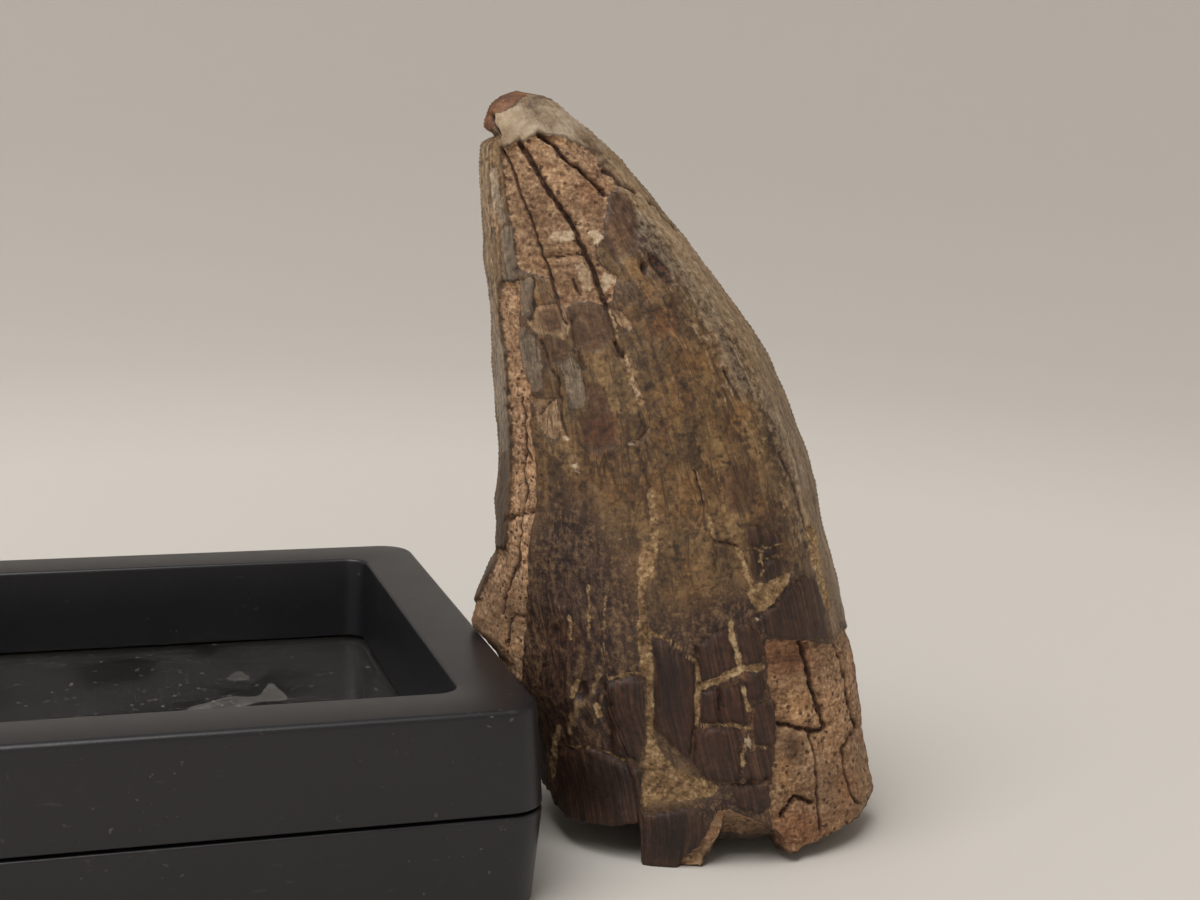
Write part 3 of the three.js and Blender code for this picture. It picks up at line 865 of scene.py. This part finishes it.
# %% Dark enamel and veins
STAINED_LEFT = [
    (500, 600), (525, 545), (545, 515), (570, 500), (600, 515), (625, 560), (638, 600), (638, 635),
    (642, 655), (648, 671), (650, 690), (646, 730), (640, 770), (640, 810), (600, 840), (550, 840),
    (500, 790), (500, 690),
]
STAINED_RIGHT = [
    (653, 632), (690, 610), (722, 594), (756, 590), (800, 576), (822, 590), (836, 645), (768, 650),
    (768, 684), (777, 703), (778, 745), (771, 790), (774, 830), (735, 815), (706, 834), (697, 880),
    (641, 880), (641, 812), (690, 806), (716, 784), (690, 761), (667, 745), (652, 728),
]
BLACK_BLOCK = [
    (559, 750), (593, 748), (608, 757), (628, 766), (642, 771), (640, 807), (638, 830), (560, 830),
    (557, 787),
]
RUSTY_BLOCK = [(606, 683), (630, 677), (644, 683), (645, 730), (640, 762), (612, 754)]
MIDDLE_BLOCK = [
    (651, 635), (667, 644), (675, 651), (690, 658), (695, 665), (695, 690), (693, 728), (689, 759),
    (667, 743), (654, 728), (654, 679),
]
UPPER_BLOCKS = [
    [(698, 648), (712, 636), (727, 627), (733, 655), (737, 668), (722, 677), (701, 684)],
    [(737, 628), (748, 622), (760, 634), (762, 652), (760, 664), (743, 668)],
]
SMALL_BLOCKS = [
    [(702, 692), (719, 690), (719, 723), (701, 723)],
    [(721, 689), (740, 687), (745, 706), (744, 724), (721, 723)],
    [(745, 674), (761, 670), (766, 684), (761, 700), (750, 700)],
    [(695, 729), (738, 730), (742, 764), (736, 783), (707, 781), (693, 764)],
    [(755, 706), (776, 704), (777, 744), (756, 746), (753, 724)],
    [(746, 752), (775, 750), (773, 779), (745, 782), (744, 768)],
    [(732, 787), (770, 786), (770, 806), (760, 814), (738, 806)],
]
DARK_TRIANGLE = [
    (760, 616), (775, 606), (788, 590), (802, 576), (818, 580), (826, 604), (830, 636), (805, 642),
    (771, 637),
]
FOOT = [(641, 815), (690, 808), (704, 817), (705, 834), (695, 856), (680, 858), (680, 880), (641, 880)]
ALLIGATOR = [
    [(746, 528), (757, 524), (763, 534), (759, 547), (748, 545)],
    [(765, 530), (778, 533), (782, 541), (769, 547), (764, 540)],
    [(748, 550), (759, 551), (757, 560), (761, 575), (753, 570)],
    [(762, 551), (778, 548), (780, 553), (764, 558)],
    [(764, 562), (781, 558), (782, 571), (768, 576)],
]
BACK_STAINED = [
    (-13, 26), (-4, 31), (0, 24), (0, 9), (6, 5), (12, 7), (13, -3), (-30, -3), (-30, 9), (-16, 12),
]

VEINS = [
    (7, [(651, 492), (652, 505), (654, 525), (655, 546)]),
    (16, [(650, 551), (648, 562), (645, 573)]),
    (8, [(643, 576), (642, 600), (643, 622)]),
    (12, [(643, 628), (644, 640), (645, 655), (646, 668)]),
    (6, [(650, 668), (650, 700), (650, 730), (648, 750)]),
    (7, [(701, 687), (722, 679), (740, 670), (762, 667)]),
    (5, [(731, 623), (735, 645), (741, 668)]),
    (5, [(697, 664), (698, 690), (697, 725)]),
    (3, [(697, 726), (722, 725), (749, 727)]),
    (4, [(743, 688), (749, 710)]),
    (4, [(652, 633), (671, 642), (684, 653), (697, 664)]),
    (2.0, [(569, 747), (593, 747), (630, 764)]),
    (3.0, [(608, 679), (632, 674), (646, 676)]),
    (3.0, [(749, 727), (746, 745), (743, 766)]),
    (6.0, [(627, 358), (631, 378), (637, 389), (641, 402)]),
    (3.0, [(609, 311), (614, 325), (617, 338)]),
    (3.0, [(694, 470), (698, 480), (703, 500)]),
    (5.0, [(707, 516), (711, 526), (714, 536)]),
    (1.6, [(716, 546), (716, 575)]),
    (4.0, [(735, 547), (742, 557), (746, 574), (751, 584)]),
    (1.6, [(757, 561), (782, 555)]),
    (1.6, [(745, 548), (762, 549), (781, 544)]),
    (1.6, [(763, 532), (761, 549), (762, 576)]),
    (10.0, [(811, 530), (814, 548), (818, 566)]),
    (5.0, [(818, 566), (824, 584), (830, 606)]),
    (2.5, [(756, 748), (776, 747)]),
    (2.5, [(588, 586), (589, 610), (589, 636)]),
    (2.5, [(570, 615), (571, 638)]),
    (1.6, [(605, 597), (604, 630), (603, 656)]),
    (5.0, [(573, 697), (577, 682)]),
    (6.0, [(597, 706), (599, 714)]),
    (6.0, [(551, 780), (554, 750), (559, 728)]),
]
SWIRL = [
    (5, [(575, 724), (580, 706), (590, 697), (597, 684), (600, 668)]),
    (4, [(571, 732), (573, 714), (579, 702)]),
    (3, [(596, 724), (600, 700), (604, 690)]),
]
MATRIX_PATCHES = [
    [(641, 800), (644, 768), (647, 742), (654, 733), (660, 752), (676, 770), (698, 779), (718, 786),
     (712, 796), (690, 799), (672, 801), (652, 800), (642, 810)],
    [(746, 591), (756, 584), (766, 584), (774, 578), (790, 572), (787, 584), (779, 596), (766, 609),
     (757, 613)],
]
BACK_VEINS = [(1.0, [(-2, 25), (-1, 14), (-2.5, 3)]), (0.7, [(-14, 12), (-11, 19), (-10, 26)])]

stained = patches([STAINED_LEFT, STAINED_RIGHT], [BACK_STAINED])
dark_blocks = [BLACK_BLOCK, RUSTY_BLOCK, MIDDLE_BLOCK, DARK_TRIANGLE, FOOT]
block = patches(dark_blocks + UPPER_BLOCKS + SMALL_BLOCKS + ALLIGATOR)
sediment = np.maximum(strokes(VEINS, BACK_VEINS), patches(MATRIX_PATCHES))
swirl = strokes(SWIRL)
print("stained share:", round(float((stained > 0).mean()), 3), "blocks:", round(float((block > 0).mean()), 3))

# %% [markdown]
# ## Patina
# The enamel has weathered in flakes, each with its own tone: blue-grey where it is still polished, tan where
# a skin of it has chipped off, dark brown where it is stained. The right edge is paler, with a belt of
# grey specks. Broader tones are soft spots: a pixel, a half width and half height, and a strength. The
# darker spots also hold painted shade on the underside of the spur, and the strip down the left side is
# painted lighter, as painted light.

# %% Flakes and soft spots
GREY_FLAKES = [
    [(519, 329), (526, 325), (536, 341), (541, 360), (543, 378), (540, 393), (530, 390), (522, 370),
     (518, 346)],
    [(514, 282), (533, 278), (534, 300), (533, 318), (524, 319), (519, 305)],
    [(561, 363), (572, 356), (580, 366), (585, 390), (583, 409), (570, 409), (565, 390)],
    [(489, 165), (497, 168), (503, 200), (506, 222), (498, 225), (491, 195)],
    [(500, 228), (512, 225), (518, 262), (518, 281), (504, 283)],
    [(497, 330), (506, 345), (508, 400), (508, 450), (500, 452), (496, 400)],
]
TAN_FLAKES = [
    [(524, 318), (533, 320), (534, 309), (545, 304), (566, 303), (571, 322), (567, 341), (548, 334),
     (541, 341)],
    [(529, 394), (541, 399), (556, 400), (561, 420), (558, 440), (545, 436), (537, 420)],
    [(609, 307), (620, 310), (633, 325), (630, 333), (617, 322)],
    [(618, 545), (630, 552), (628, 575), (620, 572)],
    [(829, 600), (836, 600), (844, 636), (834, 640)],
]
BROWN_FLAKES = [
    [(580, 421), (590, 414), (610, 411), (617, 425), (615, 444), (606, 451), (590, 450), (584, 440)],
    [(585, 386), (600, 383), (607, 395), (609, 412), (588, 415)],
    [(566, 309), (580, 304), (600, 303), (609, 315), (612, 336), (600, 350), (580, 350), (571, 335)],
    [(539, 336), (556, 334), (568, 346), (566, 363), (550, 363), (543, 350)],
    [(538, 313), (552, 309), (562, 318), (560, 330), (545, 331)],
    [(605, 194), (618, 188), (632, 204), (640, 228), (636, 252), (618, 261), (604, 247), (600, 222)],
    [(721, 468), (740, 466), (757, 485), (752, 512), (730, 512)],
    [(672, 292), (680, 294), (682, 304), (676, 313), (670, 306)],
    [(580, 210), (604, 209), (606, 216), (592, 221), (581, 218)],
]
CAP = [
    (482, 112), (493, 114.5), (505, 112), (512, 107), (520, 101), (529, 94), (560, 104), (612, 140),
    (606, 152), (598, 152), (580, 144), (566, 136), (546, 134), (538, 133), (523, 141), (516, 141),
    (510, 145), (499, 147), (495, 135),
]
WORN_FACET = [
    (480, 130), (480, 112), (500, 84), (525, 84), (531, 94), (520, 100.5), (512, 106.5), (505, 111.5),
    (494, 114.5), (491, 130),
]
RIGHT_MARGIN = [
    (44, [(612, 150), (655, 205), (705, 265), (745, 325), (780, 400), (806, 480), (824, 545),
     (838, 610)]),
]
LEFT_MARGIN = [(12, [(482, 150), (485, 230), (490, 300), (495, 400)])]
BACK_CAP = [(-31, 86), (-8, 86), (-9, 72.5), (-14, 71), (-18, 73.5), (-22, 72), (-31, 75)]
BACK_FACET = [(-31, 86), (-20, 86), (-21, 81), (-24, 79.5), (-31, 78)]
BACK_MARGIN = [(7, [(-14, 76), (-5.5, 67), (5, 54.5), (10.5, 42), (14.5, 29)])]
GREY_BELT = [
    (20, [(640, 222), (652, 244), (682, 275), (704, 305), (726, 350), (742, 388)]),
    (14, [(768, 400), (786, 440), (800, 480)]),
]

GOLD = [
    (512, 128, 22, 18, 0.9), (690, 430, 60, 110, 0.9), (690, 580, 50, 40, 0.9), (625, 500, 26, 60, 0.5),
    (796, 704, 24, 22, 1.0), (790, 780, 12, 20, 0.8), (540, 262, 14, 8, 0.8), (606, 365, 14, 24, 0.6),
]
RUST = [
    (590, 190, 18, 26, 0.5), (545, 300, 40, 16, 0.4), (662, 322, 18, 18, 0.9), (740, 490, 13, 24, 0.3),
    (625, 715, 22, 36, 0.5), (786, 656, 34, 20, 1.0), (600, 432, 20, 20, 0.9), (560, 640, 26, 40, 0.5),
    (720, 705, 60, 60, 0.7), (800, 830, 40, 26, 0.8), (850, 790, 18, 40, 0.5),
]
# darker tones of the stone; the two small spots at the spur's lower edge are painted shade on its underside
DARK_TONES_AND_SHADE = [
    (504, 495, 6, 55, 0.7), (600, 785, 40, 34, 0.8), (669, 690, 18, 46, 0.7), (668, 838, 34, 28, 0.8),
    (728, 826, 20, 16, 0.55), (478, 622, 12, 10, 0.7), (764, 556, 18, 22, 0.65),
    (773, 622, 14, 20, 0.45), (705, 846, 14, 18, 0.4), (741, 492, 14, 24, 0.4),
    (486, 585, 12, 40, 0.55), (476, 628, 16, 8, 0.65), (786, 660, 30, 18, 0.62),
    (590, 340, 24, 40, 0.3), (797, 752, 12, 20, 0.8), (540, 730, 22, 60, 0.35), (755, 835, 16, 8, 0.6),
    (838, 800, 24, 36, 0.4), (500, 612, 30, 40, 0.6), (512, 130, 16, 14, 0.45),
]
LIGHT = [
    (490, 205, 13, 80, 1.0), (502, 400, 8, 50, 0.6), (622, 222, 16, 28, 0.5), (840, 690, 20, 50, 0.65),
    (790, 515, 16, 40, 0.2), (560, 112, 24, 14, 0.25), (634, 380, 7, 24, 0.7), (808, 602, 13, 26, 0.3),
    (815, 550, 6, 24, 0.5), (829, 622, 6, 24, 0.4), (560, 170, 30, 30, 0.35), (796, 706, 16, 18, 0.25),
    (647, 560, 11, 24, 0.8), (655, 790, 12, 14, 0.5),
]
CREAM_CHIPS = [
    [(549, 233), (560, 229), (577, 231), (574, 238), (560, 242), (551, 241)],
    [(588, 231), (597, 226), (605, 237), (598, 246), (593, 239)],
    [(574, 263), (583, 262), (590, 271), (592, 289), (584, 291), (577, 278)],
    [(602, 271), (612, 272), (617, 280), (608, 288), (604, 300), (600, 285)],
]
# painted light: how much lighter the dentine strip down the left side is made
STRIP_PAINTED_LIGHT = 0.9
SMALL_CHIPS = [
    (4, [(627, 361), (629, 370)]),
    (5, [(632, 379), (638, 396)]),
    (4, [(565, 437), (567, 439)]),
    (4, [(574, 467), (577, 468)]),
    (4, [(630, 444), (633, 444)]),
    (3, [(619, 540), (619, 542)]),
    (4, [(756, 618), (760, 618)]),
    (7, [(747, 740), (749, 745)]),
    (3, [(694, 467), (694, 470)]),
    (3, [(576, 470), (579, 473)]),
]

grey = patches(GREY_FLAKES)
tan = patches(TAN_FLAKES)
brown = patches(BROWN_FLAKES)
cap = patches([CAP], [BACK_CAP])
facet = patches([WORN_FACET], [BACK_FACET])
margin = strokes(RIGHT_MARGIN + LEFT_MARGIN, BACK_MARGIN)
belt = strokes(GREY_BELT)
left_strip = smooth(patches([LEFT_DENTINE]), -0.1, 0.3)
gold = soft(GOLD)
rust = soft(RUST)
shade = soft(DARK_TONES_AND_SHADE)
# paler spots, and painted light on the strip down the left side
light = np.maximum(soft(LIGHT), STRIP_PAINTED_LIGHT * left_strip)
chips = np.maximum(patches(CREAM_CHIPS), strokes(SMALL_CHIPS))
print("flakes:", len(GREY_FLAKES + TAN_FLAKES + BROWN_FLAKES), "chips:", len(CREAM_CHIPS + SMALL_CHIPS))

# %% [markdown]
# ## Relief
# All of this is felt as well as seen. Each point of the skin moves along its normal: dentine lies lower
# than enamel and is fibrous, cracks and pits go in, the dark blocks swell a little between their veins,
# sediment is granular, and the two cutting edges carry fine teeth.

# %% Move the skin
LEDGE = 0.4
LEDGE_RUN = 0.22
DENTINE_FIBRES = 0.1
DENTINE_CRUMBS = 0.16
SEDIMENT_CRUMBS = 0.28
SEDIMENT_SINK = 0.08
BLOCK_SWELL = 0.22
BLOCK_GROOVE = 0.3
GROOVE_AT = -0.12
GROOVE_WIDTH = 0.16
# Heights and sizes of lumps in mm, each with its seed
ENAMEL_LUMPS = [(0.32, 9.0, 2.0), (0.14, 3.2, 4.0), (0.07, 1.2, 6.0), (0.05, 0.6, 8.0)]
ENAMEL_FIBRES = 0.05
FIBRE_SIZE = np.array([0.55, 1.0, 4.5])
CRUMB_SIZE = 0.75
NOTCH_DEPTH = 1.5
TEETH = 0.05
TEETH_SPREAD = 0.09
TEETH_START = (24, 30)
SMOOTH_TIP_ROWS = 6
UNDER_LUMPS = 0.5
UNDER_LUMP_SIZE = 2.0
UNDER_START = 0.08
FLOW_PER_TURN = 12.0  # mm along the skin for each radian round the tooth

flow = np.stack([turn * FLOW_PER_TURN, np.zeros(len(turn)), skin[:, 2]], axis=1)
fibres = grain(flow, FIBRE_SIZE, 3.0)
crumbs = grain(skin, CRUMB_SIZE, 12.0)
bare = smooth(dentine, -LEDGE_RUN, LEDGE_RUN)
filled = smooth(sediment, -0.2, 0.2)
raised = smooth(block, -0.1, 0.6) * (1 - bare)

lift = sum(amount * grain(skin, size, seed) for amount, size, seed in ENAMEL_LUMPS) + ENAMEL_FIBRES * fibres
lift -= bare * (LEDGE + DENTINE_FIBRES * np.abs(fibres) + DENTINE_CRUMBS * np.abs(crumbs))
lift += BLOCK_SWELL * raised
lift -= BLOCK_GROOVE * np.exp(-((block - GROOVE_AT) / GROOVE_WIDTH) ** 2)
lift += filled * (SEDIMENT_CRUMBS * crumbs - SEDIMENT_SINK)

# Each step: how far it moves the skin in mm, and where it starts and ends, in mm inside its border
steps = [
    (-0.75, wide_crack, -0.2, 0.22),
    (-0.42, fine_crack, -0.2, 0.14),
    (-0.55, pit, -0.15, 0.2),
    (-0.12, np.maximum(tan, brown), -0.12, 0.12),
    (-0.12, facet, -0.15, 0.15),
    (0.25, swirl, -0.25, 0.2),
    (0.1, chips, -0.1, 0.15),
]
for amount, mask, start, full in steps:
    lift += amount * smooth(mask, start, full)
zigzag = np.where(row % 2 == 0, 1.0, -1.0) * np.exp(-(np.sin(turn) / TEETH_SPREAD) ** 2)
lift += TEETH * zigzag * smooth(height, *TEETH_START) * (inward == 0)
lift *= smooth(row, 0, SMOOTH_TIP_ROWS)
lift += smooth(inward, 0.0, UNDER_START) * UNDER_LUMPS * grain(skin, UNDER_LUMP_SIZE, 21.0)
shaped = skin + normals * lift[:, None]
shaped[:, 0] += NOTCH_DEPTH * notch
shaped[:, 2] = np.maximum(shaped[:, 2], 0.0)
tooth_mesh.vertices.foreach_set("co", in_frame(shaped).astype(np.float32).ravel())
tooth_mesh.update()
print("relief in mm from", round(float(lift.min()), 2), "to", round(float(lift.max()), 2))

# %% [markdown]
# ## Masks
# The colours need the same borders as the relief. So each distance and spot worked out above is kept on the
# mesh as one value for each point, and the direction of the enamel's grain as a vector.

# %% Masks for the material
MASK_LIMIT = 8.0


def keep_on_mesh(name, values):
    made = tooth_mesh.attributes.new(name, "FLOAT", "POINT")
    made.data.foreach_set("value", np.clip(values, -MASK_LIMIT, MASK_LIMIT).astype(np.float32))


masks = {"dentine": dentine, "crack": crack, "stained": stained, "block": block, "sediment": sediment,
         "swirl": swirl, "pit": pit, "grey": grey, "tan": tan, "brown": brown, "cap": cap, "facet": facet,
         "margin": margin, "belt": belt, "gold": gold, "rust": rust, "shade": shade, "light": light,
         "chips": chips, "hollow": smooth(inward, 0.02, 0.12)}
for name, values in masks.items():
    keep_on_mesh(name, values)
grain_way = tooth_mesh.attributes.new("grain_way", "FLOAT_VECTOR", "POINT")
grain_way.data.foreach_set("vector", flow.astype(np.float32).ravel())
print("masks on the tooth:", sorted(masks))

# %% [markdown]
# ## Fossil surface
# One material covers the tooth, because it is one piece. It starts from streaky brown enamel and lays the
# other surfaces over it by the masks: grey and rusty stains, the black enamel, dentine with its dark pores,
# golden sediment, and the dark cracks. Streaks follow the tooth's length through the `grain_way` attribute.
# Every surface is a ramp of a few mineral colours driven by the same noises, so they belong together.

# %% Fossil material
ENAMEL = [(0.39, (48, 36, 28)), (0.45, (80, 60, 42)), (0.5, (102, 79, 54)), (0.55, (122, 96, 65)),
          (0.62, (152, 124, 88))]
MARGIN = [(0.38, (82, 66, 52)), (0.46, (128, 106, 80)), (0.53, (156, 132, 102)), (0.62, (188, 166, 136))]
GREY = [(0.39, (80, 71, 63)), (0.47, (122, 110, 96)), (0.54, (146, 133, 117)), (0.63, (178, 162, 140))]
TAN = [(0.39, (96, 72, 52)), (0.47, (142, 112, 84)), (0.54, (172, 142, 110)), (0.63, (206, 182, 150))]
BROWN = [(0.38, (44, 31, 24)), (0.48, (78, 55, 40)), (0.55, (99, 72, 52)), (0.64, (130, 101, 75))]
STAINED = [(0.4, (30, 19, 17)), (0.47, (54, 36, 30)), (0.52, (70, 49, 39)), (0.57, (98, 74, 54)),
           (0.64, (136, 110, 79))]
BLOCK = [(0.38, (31, 18, 13)), (0.47, (50, 31, 23)), (0.54, (66, 42, 30)), (0.63, (92, 62, 44))]
DENTINE = [(0.38, (78, 55, 40)), (0.45, (118, 89, 65)), (0.5, (144, 114, 86)), (0.55, (168, 138, 108)),
           (0.63, (206, 182, 152))]
CAP_ENAMEL = [
    (0.38, (90, 70, 51)), (0.46, (126, 105, 82)), (0.53, (150, 131, 109)), (0.62, (172, 156, 135)),
]
WORN_TIP = [(0.38, (78, 48, 30)), (0.5, (108, 71, 46)), (0.62, (146, 104, 70))]
SEDIMENT = [(0.4, (74, 54, 36)), (0.46, (116, 90, 60)), (0.52, (144, 116, 82)), (0.6, (190, 164, 126))]
CLEFT = [(0.4, (32, 21, 17)), (0.5, (50, 32, 26)), (0.6, (92, 62, 48))]
CREAM = [(0.4, (150, 122, 94)), (0.5, (196, 174, 146)), (0.6, (224, 208, 184))]
LAYERS = [("tan", TAN, 0.7), ("grey", GREY, 0.55), ("brown", BROWN, 0.8)]


def fossil_paint():
    paint = Paint("fossil")
    place = paint.place()
    way = paint.attribute("grain_way", "Vector")
    mottle = paint.noise(place, 1400.0, 5.0, 0.68)
    blotch = paint.noise(place, 210.0, 4.0, 0.6)
    speckle = paint.noise(place, 2600.0, 2.0, 0.6)
    streak = paint.noise(paint.stretched(way, (2.2, 1, 0.4)), 1.0, 4.0, 0.65, 0.6)
    band = paint.noise(paint.stretched(way, (0.5, 1, 0.05)), 1.0, 3.0, 0.6, 0.4)
    warped = paint.node("ShaderNodeVectorMath", {"operation": "ADD"},
                        {0: paint.stretched(way, (0.4, 1, 0.2)), 1: mottle * 1.2})
    flake = paint.cells(warped, 1.0, output="Color")
    weave = mottle * 0.4 + speckle * 0.1 + streak * 0.18 + band * 0.32
    crumb = mottle * 0.5 + speckle * 0.5
    ragged = (mottle - 0.5) * 0.9 + (speckle - 0.5) * 0.4
    grime = paint.rise(paint.noise(place, 480.0, 4.0, 0.7), 0.53, 0.61)

    def border(name, wobble, start, full):
        """A mask with a ragged border."""
        return paint.rise(paint.attribute(name) + ragged * wobble, start, full)

    colour = paint.ramp(weave + (flake - 0.5) * 0.1, ENAMEL)
    colour = paint.tint(paint.rise(blotch, 0.5, 0.58) * 0.55, colour, 1.0, 0.84, 0.7)
    colour = paint.tint(paint.rise(blotch, 0.47, 0.4) * 0.6, colour, 0.7, 0.72, 0.76)
    colour = paint.mix(paint.rise(mottle, 0.44, 0.36) * 0.45, colour, tone(50, 39, 32))
    colour = paint.tint(grime * 0.4, colour, 0.66, 0.61, 0.58)
    margin = paint.rise(paint.attribute("margin") + (mottle - 0.5) * 6.0 + (blotch - 0.5) * 6.0, -0.8, 1.6)
    colour = paint.mix(margin * 0.8, colour, paint.ramp(weave, MARGIN))
    belt = paint.rise(paint.attribute("belt") + (mottle - 0.5) * 9.0 + (streak - 0.5) * 8.0, -0.2, 0.6)
    colour = paint.mix(belt * 0.5, colour, paint.ramp(weave, GREY))
    for name, stops, strength in LAYERS:
        inside = paint.attribute(name) + ragged * 0.9
        patch = paint.rise(inside, -0.06, 0.12)
        rim = paint.rise(inside, -0.22, -0.06) * (1 - patch)
        colour = paint.mix(rim * 0.3, colour, tone(52, 38, 30))
        colour = paint.mix(patch * strength, colour, paint.ramp(weave, stops))
    hairline = paint.rise((band - 0.5).absolute(), 0.014, 0.003) * paint.rise(mottle, 0.4, 0.52)
    colour = paint.mix(hairline * 0.65, colour, tone(44, 32, 25))

    fade = (mottle - 0.5) * 14.0 + (streak - 0.5) * 9.0
    stained = paint.rise(paint.attribute("stained") + fade, -1.6, 0.8)
    colour = paint.mix(stained, colour, paint.ramp(mottle * 0.45 + streak * 0.38 + band * 0.17, STAINED))
    sliver = paint.rise((streak - 0.55).absolute(), 0.016, 0.004) * stained
    fleck = paint.rise(crumb, 0.51, 0.57) * paint.rise(paint.attribute("stained"), 7.0, 2.0) * stained
    colour = paint.mix(sliver * 0.5 + fleck * 0.4, colour, tone(124, 100, 71))
    block = border("block", 0.25, -0.05, 0.06)
    hair = paint.noise(paint.stretched(way, (5.0, 1, 0.12)), 1.0, 2.0, 0.6)
    colour = paint.mix(block * 0.92, colour, paint.ramp(hair * 0.6 + mottle * 0.3 + blotch * 0.1, BLOCK))
    swirl = border("swirl", 0.3, -0.1, 0.15)
    colour = paint.mix(swirl * 0.5, colour, paint.ramp(streak * 0.5 + mottle * 0.5, SEDIMENT))
    cap = border("cap", 0.25, -0.05, 0.08)
    colour = paint.mix(cap, colour, paint.ramp(blotch * 0.6 + mottle * 0.4, CAP_ENAMEL))
    facet = border("facet", 0.2, -0.04, 0.1)
    colour = paint.mix(facet, colour, paint.ramp(blotch * 0.5 + mottle * 0.5, WORN_TIP))

    bare = border("dentine", 0.6, -0.06, 0.08)
    layer = paint.noise(paint.stretched(way, (0.6, 1, 1.9)), 1.0, 3.0, 0.6)
    pores = paint.rise(paint.cells(place, 1150.0), 0.36, 0.2)
    pores = pores * paint.rise(layer, 0.42, 0.5) * paint.rise(blotch, 0.38, 0.52)
    bone = paint.ramp(crumb * 0.55 + layer * 0.25 + blotch * 0.2, DENTINE)
    bone = paint.tint(paint.rise(blotch, 0.5, 0.6) * 0.6, bone, 1.0, 0.88, 0.76)
    bone = paint.tint(grime * 0.5, bone, 0.62, 0.55, 0.5)
    bone = paint.mix(pores * 0.85, bone, tone(62, 39, 29))
    colour = paint.mix(bare, colour, bone)
    outside = border("dentine", 0.6, -0.25, -0.08) * (1 - bare)
    colour = paint.mix(outside * 0.55, colour, tone(58, 40, 31))
    colour = paint.tint(paint.attribute("gold"), colour, 1.14, 1.08, 0.94)
    rust = border("rust", 0.5, 0.1, 0.8)
    colour = paint.tint(rust * 0.7, colour, 0.94, 0.66, 0.54)
    # darker tones, with painted shade under the spur
    shade = border("shade", 0.6, 0.1, 0.85)
    colour = paint.tint(shade, colour, 0.42, 0.39, 0.38)

    sediment = border("sediment", 0.4, -0.1, 0.06)
    colour = paint.mix(sediment, colour, paint.ramp(mottle * 0.45 + speckle * 0.25 + blotch * 0.3, SEDIMENT))
    # paler tones, and painted light on the strip down the left side
    colour = paint.tint(paint.attribute("light"), colour, 1.48, 1.5, 1.54)
    chips = border("chips", 0.9, -0.1, 0.2)
    colour = paint.mix(chips * 0.75, colour, paint.ramp(crumb * 0.5 + blotch * 0.5, CREAM))
    # painted shade: the hollow under the root is darkened
    colour = paint.mix(paint.attribute("hollow") * 0.4, colour, tone(40, 32, 26))
    crack = border("crack", 0.4, -0.1, 0.08)
    crack = border("pit", 0.3, -0.05, 0.08) * (1 - crack) + crack
    colour = paint.mix(crack * 0.92, colour, paint.ramp(mottle, CLEFT))

    rough = 0.42 + (bare * 0.3 + crack * 0.2 + sediment * 0.25 + mottle * 0.2)
    relief = streak * 0.2 + mottle * 0.6 + speckle * 0.3 - pores * bare * 0.7
    normal = paint.bump(relief, 0.6, 0.3 * MM)
    sockets = {"Base Color": colour, "Roughness": rough, "Normal": normal, "IOR": 1.45}
    return paint.surface(paint.principled(sockets))


tooth_mesh.shade_smooth()
tooth_mesh.materials.append(fossil_paint())
tooth = bpy.data.objects.new("fossil_tooth", tooth_mesh)
bpy.context.scene.collection.objects.link(tooth)
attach(tooth, "root")
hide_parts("tooth")
print("fossil_tooth has", sum(len(face.vertices) - 2 for face in tooth_mesh.polygons), "triangles")
